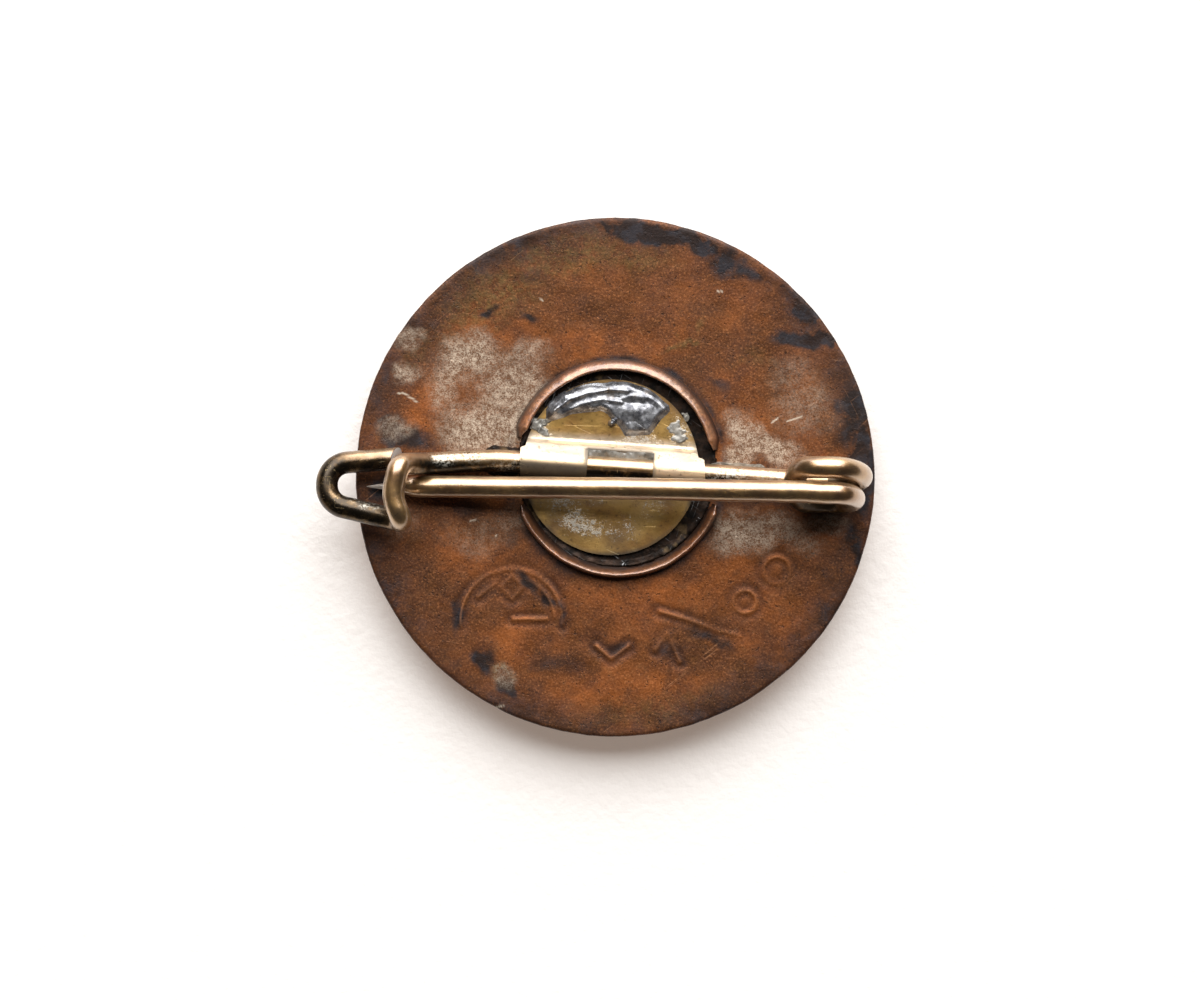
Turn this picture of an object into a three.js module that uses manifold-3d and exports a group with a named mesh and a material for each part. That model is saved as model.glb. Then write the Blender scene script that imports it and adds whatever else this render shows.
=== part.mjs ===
// Button badge lying face down, its back upwards (+Z): an enamelled copper disc with a soldered
// collar, a brass pin plate, and a sprung brass wire pin held by a hook-shaped catch.
// Millimetres. The origin is the centre of the flat crown in the middle of the domed front.
import * as THREE from "three";
import { mergeVertices } from "three/addons/utils/BufferGeometryUtils.js";
import Module from "manifold-3d";

const wasm = await Module();
wasm.setup();

// Copper disc and its enamelled front
const DISC_R = 12.5;
const EDGE_THICK = 1.2;
const DOME_RISE = 1.0;
const CROWN_R = 3.5;
const EDGE_ROUND = 0.14;
const BACK_Z = EDGE_THICK + DOME_RISE;
const FIELD_R = 7.6;
const BORDER_IN_R = 8.1;
const BORDER_OUT_R = 11.6;
const CELL_DEPTH = 0.4;
const FIT_GAP = 0.02;
const ROUND_SEGMENTS = 72;
const DOME_STEPS = 5;

// Heights from here on are measured from the flat back of the disc.
// Collar: a low copper ring with an opening on each side for the wire
const COLLAR_X = 0.08;
const COLLAR_Y = 0.46;
const COLLAR_OUT_R = 5.23;
const COLLAR_WIDTH = 0.55;
const COLLAR_TALL = 0.62;
const LEFT_OPENING_Y = [-1.35, 1.8];
const RIGHT_OPENING_Y = [-1.4, 1.3];

// Wire: one diameter for the catch, the base leg, the spring coil and the pin
const WIRE_R = 0.53;
const WIRE_SIDES = 12;
const WIRE_Z = 0.6;
const WIRE_STEP = 0.32;
const WIRE_CLEAR = 0.02;

// Pin plate: thin brass disc with a raised ridge that clasps the base leg
const PLATE_X = -0.22;
const PLATE_Y = 0.475;
const PLATE_R = 4.23;
const PLATE_THICK = 0.15;
const PLATE_Z = 0.1;
const RIDGE_Y = 0.42;
const RIDGE_SLOPE = -0.0693;
const RIDGE_IN_R = WIRE_R + WIRE_CLEAR;
const RIDGE_ENDS_X = [-4.57, 4.32];
const RIDGE_HALF = 0.75;
const WINDOW_X = [-1.36, 1.82];
const WINDOW_HALF = 0.85;
const FOOT_R = 0.35;

// Spring coil: round about a line along Y
const COIL_X = 10.18;
const COIL_R = 1.61;
const COIL_Z = WIRE_Z + COIL_R;
const LANE_START_Y = -0.235;
const LANE_TOP_Y = 0.46;
const LANE_BOTTOM_Y = -1.33;
const LANE_PIN_Y = -0.76;
const CROSS_DEG = [130, 235];
const COIL_SPLIT_DEG = 300;

// Pin arm
const PIN_DIP_DEG = 9;
const TIP_X = -11.96;
const TIP_Y = -0.45;
const TAPER_LONG = 2.3;
const TIP_R = 0.04;

// Catch: U-shaped guard at GUARD_Z, hook over the pin at HOOK_Z
const GUARD_Z = 1.4;
const HOOK_Z = 2.8;
const GUARD_END = [-10.2, 0.92, GUARD_Z - 0.4];
const GUARD_JOIN = [-12.2, 0.755, GUARD_Z - 0.32];
const CUT_AT = [-10.42, 1.39];
const CUT_SLANT_DEG = -31;

// Solder
const BED_R = 4.6;
const BED_THICK = 0.08;
const BLOB_THICK = 0.3;

const rad = THREE.MathUtils.degToRad;
const smooth = THREE.MathUtils.smoothstep;
const vec = (x, y, z) => new THREE.Vector3(x, y, z);

// ---- solids ----

function toSolid(geometry) {
  const bare = geometry.clone();
  bare.deleteAttribute("normal");
  bare.deleteAttribute("uv");
  const merged = mergeVertices(bare, 1e-5);
  const corners = merged.index.array;
  const triangles = [];
  for (let i = 0; i < corners.length; i += 3) {
    const [a, b, c] = corners.slice(i, i + 3);
    if (a !== b && b !== c && c !== a) {
      triangles.push(a, b, c);
    }
  }
  const vertProperties = new Float32Array(merged.attributes.position.array);
  const triVerts = new Uint32Array(triangles);
  return new wasm.Manifold(new wasm.Mesh({ numProp: 3, vertProperties, triVerts }));
}

function toGeometry(solid) {
  const { vertProperties, triVerts } = solid.getMesh();
  const geometry = new THREE.BufferGeometry();
  geometry.setAttribute("position", new THREE.BufferAttribute(vertProperties, 3));
  geometry.setIndex(new THREE.BufferAttribute(triVerts, 1));
  geometry.computeVertexNormals();
  return geometry;
}

// Turns a profile of (radius, height) points about Z.
function turned(profile, segments = ROUND_SEGMENTS) {
  return new THREE.LatheGeometry(profile, segments).rotateX(Math.PI / 2);
}

function turnedDisc(radius, low, high) {
  const profile = [[0, low], [radius, low], [radius, high], [0, high]];
  return turned(profile.map(([r, z]) => new THREE.Vector2(r, z)));
}

function block([x0, x1], [y0, y1], [z0, z1]) {
  const geometry = new THREE.BoxGeometry(x1 - x0, y1 - y0, z1 - z0);
  return geometry.translate((x0 + x1) / 2, (y0 + y1) / 2, (z0 + z1) / 2);
}

// ---- wire paths ----

// An arc in space: radius vectors `from` and `to` about a centre.
class Bend extends THREE.Curve {
  constructor(centre, from, to) {
    super();
    this.centre = centre;
    this.from = from;
    this.to = to;
    this.angle = from.angleTo(to);
  }

  getPoint(t) {
    const a = Math.sin((1 - t) * this.angle) / Math.sin(this.angle);
    const b = Math.sin(t * this.angle) / Math.sin(this.angle);
    return this.centre.clone().addScaledVector(this.from, a).addScaledVector(this.to, b);
  }
}

// Straight runs between the corners, each corner [x, y, z, radius] bent to its radius.
function bentPath(corners) {
  const points = corners.map(([x, y, z]) => vec(x, y, z));
  const path = new THREE.CurvePath();
  let last = points[0];
  for (let i = 1; i < points.length - 1; i += 1) {
    const into = points[i].clone().sub(points[i - 1]).normalize();
    const out = points[i + 1].clone().sub(points[i]).normalize();
    const turn = into.angleTo(out);
    const radius = corners[i][3];
    const reach = radius * Math.tan(turn / 2);
    const start = points[i].clone().addScaledVector(into, -reach);
    const end = points[i].clone().addScaledVector(out, reach);
    const inward = out.clone().sub(into).normalize();
    const centre = points[i].clone().addScaledVector(inward, radius / Math.cos(turn / 2));
    path.add(new THREE.LineCurve3(last, start));
    path.add(new Bend(centre, start.clone().sub(centre), end.clone().sub(centre)));
    last = end;
  }
  path.add(new THREE.LineCurve3(last, points[points.length - 1]));
  return path;
}

// Sideways place of the coiled wire. It leaves the base leg at -90 degrees, crosses to its second
// lane on the far side from the pin's root, and comes over the top again as the pin at 450 degrees.
function laneY(deg) {
  const first = THREE.MathUtils.lerp(LANE_START_Y, LANE_TOP_Y, smooth(deg, -60, 90));
  const second = THREE.MathUtils.lerp(LANE_BOTTOM_Y, LANE_PIN_Y, smooth(deg, 300, 450));
  return THREE.MathUtils.lerp(first, second, smooth(deg, CROSS_DEG[0], CROSS_DEG[1]));
}

function coilPoint(deg) {
  const angle = rad(deg);
  return vec(COIL_X + COIL_R * Math.cos(angle), laneY(deg), COIL_Z + COIL_R * Math.sin(angle));
}

class CoilCurve extends THREE.Curve {
  constructor(startDeg, endDeg) {
    super();
    this.startDeg = startDeg;
    this.endDeg = endDeg;
  }

  getPoint(t) {
    return coilPoint(THREE.MathUtils.lerp(this.startDeg, this.endDeg, t));
  }
}

function wireAlong(path, radius = WIRE_R) {
  const section = new THREE.Shape().absarc(0, 0, radius, 0, 2 * Math.PI);
  return new THREE.ExtrudeGeometry(section, {
    extrudePath: path,
    steps: Math.ceil(path.getLength() / WIRE_STEP),
    curveSegments: WIRE_SIDES / 2,
    bevelEnabled: false,
  });
}

function fixedPath() {
  const legY = (x) => RIDGE_Y + RIDGE_SLOPE * x;
  return bentPath([
    GUARD_JOIN,
    [-13.83, 0.62, GUARD_Z - 0.25, 1.05],
    [-13.83, -1.25, GUARD_Z, 1.05],
    [-10.42, -2.06, GUARD_Z, 0.6],
    [-10.42, -2.06, HOOK_Z, 0.75],
    [-10.72, 0.5, HOOK_Z, 0.8],
    [-9.75, 0.7, WIRE_Z, 0.75],
    [-5.6, legY(-5.6), WIRE_Z, 8],
    [8.6, legY(8.6), WIRE_Z, 6],
    [COIL_X - FIT_GAP / 2, LANE_START_Y, WIRE_Z],
  ]);
}

// ---- front: copper disc and enamel ----

function frontZ(r) {
  const rise = (r * r - CROWN_R * CROWN_R) / (DISC_R * DISC_R - CROWN_R * CROWN_R);
  return DOME_RISE * Math.max(rise, 0);
}

// Points along the domed front from one radius to another.
function domeArc(from, to) {
  const points = [];
  for (let i = 0; i <= DOME_STEPS; i += 1) {
    const r = THREE.MathUtils.lerp(from, to, i / DOME_STEPS);
    points.push(new THREE.Vector2(r, frontZ(r)));
  }
  return points;
}

function badgeDisc() {
  const borderFloor = frontZ(BORDER_IN_R) + CELL_DEPTH;
  const profile = [
    new THREE.Vector2(0, CELL_DEPTH),
    new THREE.Vector2(FIELD_R, CELL_DEPTH),
    new THREE.Vector2(FIELD_R, frontZ(FIELD_R)),
    new THREE.Vector2(BORDER_IN_R, frontZ(BORDER_IN_R)),
    new THREE.Vector2(BORDER_IN_R, borderFloor),
    new THREE.Vector2(BORDER_OUT_R, frontZ(BORDER_OUT_R) + CELL_DEPTH),
    new THREE.Vector2(BORDER_OUT_R, frontZ(BORDER_OUT_R)),
    new THREE.Vector2(DISC_R - EDGE_ROUND, frontZ(DISC_R - EDGE_ROUND)),
    new THREE.Vector2(DISC_R, DOME_RISE + EDGE_ROUND),
    new THREE.Vector2(DISC_R, BACK_Z - EDGE_ROUND),
    new THREE.Vector2(DISC_R - EDGE_ROUND, BACK_Z),
    new THREE.Vector2(0, BACK_Z),
  ];
  return toSolid(turned(profile));
}

function enamelField() {
  const radius = FIELD_R - FIT_GAP;
  const floor = CELL_DEPTH - FIT_GAP;
  const profile = [new THREE.Vector2(0, 0), ...domeArc(CROWN_R, radius)];
  profile.push(new THREE.Vector2(radius, floor), new THREE.Vector2(0, floor));
  return toSolid(turned(profile));
}

function enamelBorder() {
  const inner = BORDER_IN_R + FIT_GAP;
  const outer = BORDER_OUT_R - FIT_GAP;
  const depth = CELL_DEPTH - 2 * FIT_GAP;
  const profile = domeArc(inner, outer);
  profile.push(new THREE.Vector2(outer, frontZ(outer) + depth));
  profile.push(new THREE.Vector2(inner, frontZ(inner) + depth));
  profile.push(profile[0].clone());
  return toSolid(turned(profile));
}

// ---- back: collar, plate and solder ----

// Half of the collar ring, above (side 1) or below (side -1) its two openings.
function collarHalf(side) {
  const half = COLLAR_WIDTH / 2;
  const middle = COLLAR_OUT_R - half;
  const profile = [new THREE.Vector2(middle - half, 0), new THREE.Vector2(middle + half, 0)];
  for (let i = 0; i <= 6; i += 1) {
    const angle = (Math.PI * i) / 6;
    const height = COLLAR_TALL - half + half * Math.sin(angle);
    profile.push(new THREE.Vector2(middle + half * Math.cos(angle), height));
  }
  profile.push(profile[0].clone());
  const ring = toSolid(turned(profile).translate(COLLAR_X, COLLAR_Y, 0));
  const far = side * 2 * DISC_R;
  const past = side > 0 ? 1 : 0;
  const left = block([-DISC_R, COLLAR_X], [LEFT_OPENING_Y[past], far].sort((a, b) => a - b), [-1, 2]);
  const right = block([COLLAR_X, DISC_R], [RIGHT_OPENING_Y[past], far].sort((a, b) => a - b), [-1, 2]);
  return ring.intersect(toSolid(left).add(toSolid(right)));
}

// Section of the plate across the ridge: flat, up over the wire, and flat again.
function ridgeSection() {
  const outR = RIDGE_IN_R + PLATE_THICK;
  const footX = outR + FOOT_R;
  const insideFootR = FOOT_R + PLATE_THICK;
  const wide = 2 * PLATE_R;
  const section = new THREE.Shape();
  section.moveTo(-wide, PLATE_Z);
  section.lineTo(-footX, PLATE_Z);
  section.absarc(-footX, WIRE_Z, insideFootR, -Math.PI / 2, 0, false);
  section.absarc(0, WIRE_Z, RIDGE_IN_R, Math.PI, 0, true);
  section.absarc(footX, WIRE_Z, insideFootR, Math.PI, 1.5 * Math.PI, false);
  section.lineTo(wide, PLATE_Z);
  section.lineTo(wide, PLATE_Z + PLATE_THICK);
  section.absarc(footX, WIRE_Z, FOOT_R, 1.5 * Math.PI, Math.PI, true);
  section.absarc(0, WIRE_Z, outR, 0, Math.PI, false);
  section.absarc(-footX, WIRE_Z, FOOT_R, 0, -Math.PI / 2, true);
  section.lineTo(-wide, PLATE_Z + PLATE_THICK);
  section.closePath();
  return section;
}

// Turns and moves a piece made along the X axis onto the line of the ridge.
function ontoRidge(geometry) {
  return geometry.rotateZ(Math.atan(RIDGE_SLOPE)).translate(0, RIDGE_Y, 0);
}

function pinPlate() {
  const long = 3 * PLATE_R;
  const sheet = new THREE.ExtrudeGeometry(ridgeSection(), {
    depth: long,
    curveSegments: 5,
    bevelEnabled: false,
  });
  const alongX = new THREE.Matrix4().makeBasis(vec(0, 1, 0), vec(0, 0, 1), vec(1, 0, 0));
  sheet.translate(0, 0, -long / 2).applyMatrix4(alongX);
  const disc = toSolid(turnedDisc(PLATE_R, -1, 3).translate(PLATE_X, PLATE_Y, 0));
  const ridge = toSolid(ontoRidge(block(RIDGE_ENDS_X, [-RIDGE_HALF, RIDGE_HALF], [-1, 3])));
  const window = toSolid(ontoRidge(block(WINDOW_X, [-WINDOW_HALF, WINDOW_HALF], [-1, 3])));
  return toSolid(ontoRidge(sheet)).intersect(disc.add(ridge)).subtract(window);
}

function wireClearance() {
  return toSolid(wireAlong(fixedPath(), WIRE_R + WIRE_CLEAR));
}

function solderBed() {
  const bed = toSolid(turnedDisc(BED_R, 0, BED_THICK).translate(COLLAR_X, COLLAR_Y, 0));
  return bed.subtract(wireClearance());
}

// Solder run over the upper part of the plate, up to the plate's edge.
function solderBlob() {
  const outline = new THREE.CatmullRomCurve3([
    [-3.15, 2.85], [-2.7, 3.65], [-1.4, 4.35], [0.4, 4.47], [1.6, 4.0], [2.45, 3.4],
    [2.0, 2.7], [1.5, 2.15], [0.75, 2.2], [0.2, 2.95], [-0.6, 3.35], [-1.9, 3.15],
  ].map(([x, y]) => vec(x, y, 0)), true);
  const around = outline.getPoints(44).slice(1).map(({ x, y }) => new THREE.Vector2(x, y));
  const depth = BLOB_THICK;
  const geometry = new THREE.ExtrudeGeometry(new THREE.Shape(around), { depth, bevelEnabled: false });
  return toSolid(geometry.translate(0, 0, PLATE_Z + PLATE_THICK + FIT_GAP / 2));
}

// Low rounded drop of solder: half-widths rx and ry, height rz, standing on the level z.
function solderDrop([x, y, z], [rx, ry, rz]) {
  const geometry = new THREE.SphereGeometry(1, 20, 14).scale(rx, ry, rz).translate(x, y, z);
  return toSolid(geometry).intersect(toSolid(block([-14, 14], [-14, 14], [z, z + 3])));
}

function platePatch(x, y, rx, ry) {
  return solderDrop([x, y, PLATE_Z + PLATE_THICK + FIT_GAP / 2], [rx, ry, 0.1]);
}

// Solder that holds the base leg down where it leaves the collar.
function solderFillet(x) {
  const y = RIDGE_Y + RIDGE_SLOPE * x;
  return solderDrop([x, y, 0], [0.72, 0.95, 0.5]).subtract(wireClearance());
}

// ---- wire: catch and base leg, coil, pin ----

// The end of the guard is cut off at a slant beside the rising base leg.
function fixedWire() {
  const cutter = new THREE.BoxGeometry(4, 8, 8).translate(2, 0, 0).rotateZ(rad(CUT_SLANT_DEG));
  const end = wireAlong(new THREE.LineCurve3(vec(...GUARD_END), vec(...GUARD_JOIN)));
  const slanted = toSolid(end).subtract(toSolid(cutter.translate(...CUT_AT, 0)));
  return slanted.add(toSolid(wireAlong(fixedPath())));
}

function springCoil() {
  const trim = THREE.MathUtils.radToDeg(FIT_GAP / 2 / COIL_R);
  return toSolid(wireAlong(new CoilCurve(-90 + trim, COIL_SPLIT_DEG - trim)));
}

function pinArm() {
  const trim = THREE.MathUtils.radToDeg(FIT_GAP / 2 / COIL_R);
  const endDeg = 450 + PIN_DIP_DEG;
  const root = coilPoint(endDeg);
  const tip = vec(TIP_X, TIP_Y, root.z - (root.x - TIP_X) * Math.tan(rad(PIN_DIP_DEG)));
  const along = tip.clone().sub(root);
  const long = along.length();
  along.normalize();
  const turn = new THREE.CurvePath();
  turn.add(new CoilCurve(COIL_SPLIT_DEG + trim, endDeg));
  turn.add(new THREE.LineCurve3(root, root.clone().addScaledVector(along, 0.4)));
  const profile = [
    [0, 0.1], [WIRE_R, 0.1], [WIRE_R, long - TAPER_LONG], [TIP_R, long - TIP_R], [0, long],
  ].map(([r, y]) => new THREE.Vector2(r, y));
  const upright = new THREE.Quaternion().setFromUnitVectors(vec(0, 1, 0), along);
  const arm = new THREE.LatheGeometry(profile, WIRE_SIDES).applyQuaternion(upright);
  arm.translate(root.x, root.y, root.z);
  return toSolid(wireAlong(turn)).add(toSolid(arm));
}

// ---- scene graph ----

const finishes = {
  copper: { color: 0x8f5a3c, roughness: 0.5, metalness: 1 },
  brass: { color: 0x9c7f45, roughness: 0.35, metalness: 1 },
  solder: { color: 0x74767a, roughness: 0.45, metalness: 1 },
  blueEnamel: { color: 0x1c3563, roughness: 0.15, metalness: 0 },
  creamEnamel: { color: 0xe6dfca, roughness: 0.15, metalness: 0 },
};

function named(name, finish, solid) {
  const mesh = new THREE.Mesh(toGeometry(solid), new THREE.MeshStandardMaterial(finishes[finish]));
  mesh.name = name;
  return mesh;
}

const badge = new THREE.Group();
badge.add(
  named("badge_disc", "copper", badgeDisc()),
  named("enamel_field", "creamEnamel", enamelField()),
  named("enamel_border", "blueEnamel", enamelBorder()),
);

const back = new THREE.Group();
back.position.z = BACK_Z;
back.add(
  named("collar_upper", "copper", collarHalf(1)),
  named("collar_lower", "copper", collarHalf(-1)),
  named("solder_bed", "solder", solderBed()),
  named("pin_plate", "brass", pinPlate()),
  named("solder_blob", "solder", solderBlob()),
  named("solder_patch_left", "solder", platePatch(-3.45, 2.3, 0.35, 0.28)),
  named("solder_patch_right", "solder", platePatch(3.0, 2.4, 0.4, 0.45)),
  named("solder_fillet_left", "solder", solderFillet(-5.3)),
  named("solder_fillet_right", "solder", solderFillet(5.55)),
  named("fixed_wire", "brass", fixedWire()),
  named("spring_coil", "brass", springCoil()),
  named("pin_arm", "brass", pinArm()),
);
badge.add(back);

export default badge;
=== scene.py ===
"""Button badge lying face down: copper disc, soldered collar, brass pin plate and a sprung wire pin.

Shapes are worked out in millimetres, in the frame of the CAD part, and scaled to metres.
"""

import itertools
import math

import bmesh
import bpy
import numpy as np
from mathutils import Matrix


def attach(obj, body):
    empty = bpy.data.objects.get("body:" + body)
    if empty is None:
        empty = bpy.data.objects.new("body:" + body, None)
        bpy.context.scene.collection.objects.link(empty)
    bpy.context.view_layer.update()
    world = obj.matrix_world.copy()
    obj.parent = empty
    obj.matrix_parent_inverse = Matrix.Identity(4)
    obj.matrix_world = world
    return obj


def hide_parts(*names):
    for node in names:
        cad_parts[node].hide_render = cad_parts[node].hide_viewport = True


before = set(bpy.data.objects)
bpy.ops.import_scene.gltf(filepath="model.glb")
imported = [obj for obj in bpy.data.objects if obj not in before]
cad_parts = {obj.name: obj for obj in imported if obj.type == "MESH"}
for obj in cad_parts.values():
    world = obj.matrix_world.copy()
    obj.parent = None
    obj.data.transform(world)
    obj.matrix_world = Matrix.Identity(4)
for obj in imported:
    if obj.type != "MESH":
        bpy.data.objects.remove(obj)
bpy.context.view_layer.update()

MM = 0.001
DISC_R = 12.5
DOME_RISE = 1.0
CROWN_R = 3.5
BACK_Z = 2.2
FIELD_R = 7.6
BORDER_IN_R = 8.1
BORDER_OUT_R = 11.6
CELL_DEPTH = 0.4

COLLAR_CENTRE = np.array([0.08, 0.46])
PLATE_CENTRE = np.array([-0.22, 0.475])
PLATE_R = 4.23
PLATE_THICK = 0.15
PLATE_TOP = 0.25
RIDGE_Y = 0.42
RIDGE_SLOPE = -0.0693
RIDGE_OUT_R = 0.70
RIDGE_ENDS = (-4.57, 4.32)
KNUCKLE_HALF = 0.75
FOOT_R = 0.35
WINDOW = (-1.36, 1.82)
WINDOW_HALF = 0.85

WIRE_R = 0.53
WIRE_Z = 0.6
WIRE_SIDES = 32
WIRE_STEP = 0.09
COIL_X = 10.18
COIL_R = 1.61
COIL_Z = WIRE_Z + COIL_R
PIN_DIP_DEG = 9
TIP_X = -11.96
# Along the straight arm, each by -x: where its middle lies in y, and its radius down to the point.
ARM_LINE = [
    (-9.9, -0.76), (-8.9, -0.70), (-6.0, -0.66), (-1.7, -0.573), (2.7, -0.515), (8.0, -0.465), (9.0, -0.46),
    (10.0, -0.44), (11.96, -0.45),
]
ARM_RADII = [
    (0, WIRE_R), (9.4, WIRE_R), (9.8, 0.48), (10.1, 0.38), (10.5, 0.28), (11.0, 0.18), (11.5, 0.1),
    (11.96, 0.015),
]
GUARD_Z = 1.4
HOOK_Z = 2.8


# ---- numbers ----


def ramp(value, low, high):
    """0 below low, 1 above high, smooth between them."""
    t = np.clip((np.asarray(value, float) - low) / (high - low), 0, 1)
    return t * t * (3 - 2 * t)


def fade(value, low, high):
    """1 below low, 0 above high, smooth between them."""
    return 1 - ramp(value, low, high)


def mix(a, b, t):
    return a + (b - a) * t


LATTICE = np.random.default_rng(11).uniform(-1, 1, (64, 64, 64))


def bumps(points, size, shift=0.0):
    """Smooth noise between -1 and 1 whose bumps are about `size` mm across."""
    cell = np.asarray(points, float) / size + shift
    low = np.floor(cell).astype(int)
    part = cell - low
    part = part * part * (3 - 2 * part)
    total = np.zeros(len(cell))
    for corner in itertools.product((0, 1), repeat=3):
        weight = np.prod(np.where(np.array(corner) == 1, part, 1 - part), axis=1)
        i, j, k = ((low + np.array(corner)) % 64).T
        total += weight * LATTICE[i, j, k]
    return total


def bell(value, width):
    return np.exp(-np.square(value / width))


def layered(points, *layers):
    """Sum of bumps, each given as (height in mm, size in mm, shift)."""
    return sum(height * bumps(points, size, shift) for height, size, shift in layers)


def flat(x, y):
    """(n, 3) points at height 0 from arrays of x and y."""
    return np.stack([x, y, 0 * x], axis=-1)


def patches(points, table, soft=0.75):
    """Ragged, soft-edged ellipses (x, y, rx, ry, turn, strength): the strongest at each point."""
    wobble = 0.35 * np.stack([bumps(points, 0.9, 3.3), bumps(points, 0.9, 8.1)], axis=1)
    wobble += 0.15 * np.stack([bumps(points, 0.3, 5.7), bumps(points, 0.3, 1.2)], axis=1)
    ragged = points[:, :2] + wobble
    total = np.zeros(len(points))
    for x, y, rx, ry, turn, strength in table:
        c, s = math.cos(math.radians(turn)), math.sin(math.radians(turn))
        dx, dy = (ragged - [x, y]).T
        reach = np.hypot((c * dx + s * dy) / rx, (c * dy - s * dx) / ry)
        total = np.maximum(total, strength * fade(reach, 1.0 - soft, 1.0 + 0.4 * soft))
    return total


def distance_from(points, centre):
    """Distance in plan from a centre (x, y)."""
    return np.linalg.norm(points[:, :2] - centre, axis=1)


def stroke_distance(points, line):
    """Distance in plan from each point to a polyline."""
    nearest = np.full(len(points), 1e9)
    for a, b in zip(line[:-1], line[1:]):
        a, b = np.array(a, float), np.array(b, float)
        along = b - a
        t = np.clip(((points[:, :2] - a) @ along) / (along @ along), 0, 1)
        nearest = np.minimum(nearest, np.linalg.norm(points[:, :2] - a - t[:, None] * along, axis=1))
    return nearest


def arc(x, y, r, start, end, steps=24):
    angles = np.radians(np.linspace(start, end, steps))
    return [(x + r * math.cos(a), y + r * math.sin(a)) for a in angles]


# ---- meshes ----


def grid_faces(rows, columns, ring=True, skip=None):
    """Quads over a grid of vertices numbered row by row; ring joins the last column to the first."""
    faces = []
    for i in range(rows - 1):
        for j in range(columns if ring else columns - 1):
            if skip is not None and skip(i, j):
                continue
            k = (j + 1) % columns
            faces.append((i * columns + j, i * columns + k, (i + 1) * columns + k, (i + 1) * columns + j))
    return faces


def rings_to_solid(grid):
    """A closed solid from rings of points, each end closed by a fan."""
    rows, columns = grid.shape[:2]
    points = grid.reshape(-1, 3)
    centres = np.array([grid[0].mean(axis=0), grid[-1].mean(axis=0)])
    first, last = rows * columns, rows * columns + 1
    faces = grid_faces(rows, columns)
    end = (rows - 1) * columns
    for j in range(columns):
        k = (j + 1) % columns
        faces.append((first, k, j))
        faces.append((last, end + j, end + k))
    return np.vstack([points, centres]), faces


def shell(top, bottom, faces):
    """A closed solid from two matching sheets of points that share one set of faces."""
    count = len(top)
    used = {}
    for face in faces:
        for a, b in zip(face, face[1:] + face[:1]):
            used[(a, b)] = True
    sides = [(b, a, a + count, b + count) for a, b in used if (b, a) not in used]
    under = [tuple(v + count for v in reversed(face)) for face in faces]
    return np.vstack([top, bottom]), faces + under + sides


def add_object(name, data):
    obj = bpy.data.objects.new(name, data)
    bpy.context.scene.collection.objects.link(obj)
    return obj


def add_piece(name, body, node, slot, material, shape, masks=None, sharp=55, bevel=0.0):
    """Makes a mesh object from (points in mm, faces) and ties it to the frame."""
    points, faces = shape
    mesh = bpy.data.meshes.new(name)
    mesh.from_pydata((np.asarray(points) * MM).tolist(), [], faces)
    for key, values in (masks or {}).items():
        mesh.attributes.new(key, "FLOAT", "POINT").data.foreach_set("value", values.astype(np.float32))
    tidy = bmesh.new()
    tidy.from_mesh(mesh)
    bmesh.ops.delete(tidy, geom=[v for v in tidy.verts if not v.link_faces], context="VERTS")
    bmesh.ops.remove_doubles(tidy, verts=tidy.verts, dist=2e-7)
    bmesh.ops.recalc_face_normals(tidy, faces=tidy.faces)
    tidy.to_mesh(mesh)
    tidy.free()
    mesh.shade_smooth()
    mesh.set_sharp_from_angle(angle=math.radians(sharp))
    mesh.materials.append(material)
    obj = add_object(name, mesh)
    if bevel:
        rounding = obj.modifiers.new("rounding", "BEVEL")
        rounding.width = bevel * MM
        rounding.segments = 3
        rounding.limit_method = "ANGLE"
        rounding.angle_limit = math.radians(50)
    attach(obj, body)
    if node:
        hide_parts(node)


# ---- materials ----


def tone(red, green, blue):
    """Scene-linear colour of a display colour given from 0 to 255."""
    linear = []
    for channel in (red, green, blue):
        c = channel / 255
        linear.append(c / 12.92 if c <= 0.04045 else ((c + 0.055) / 1.055) ** 2.4)
    return (*linear, 1.0)


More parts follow.
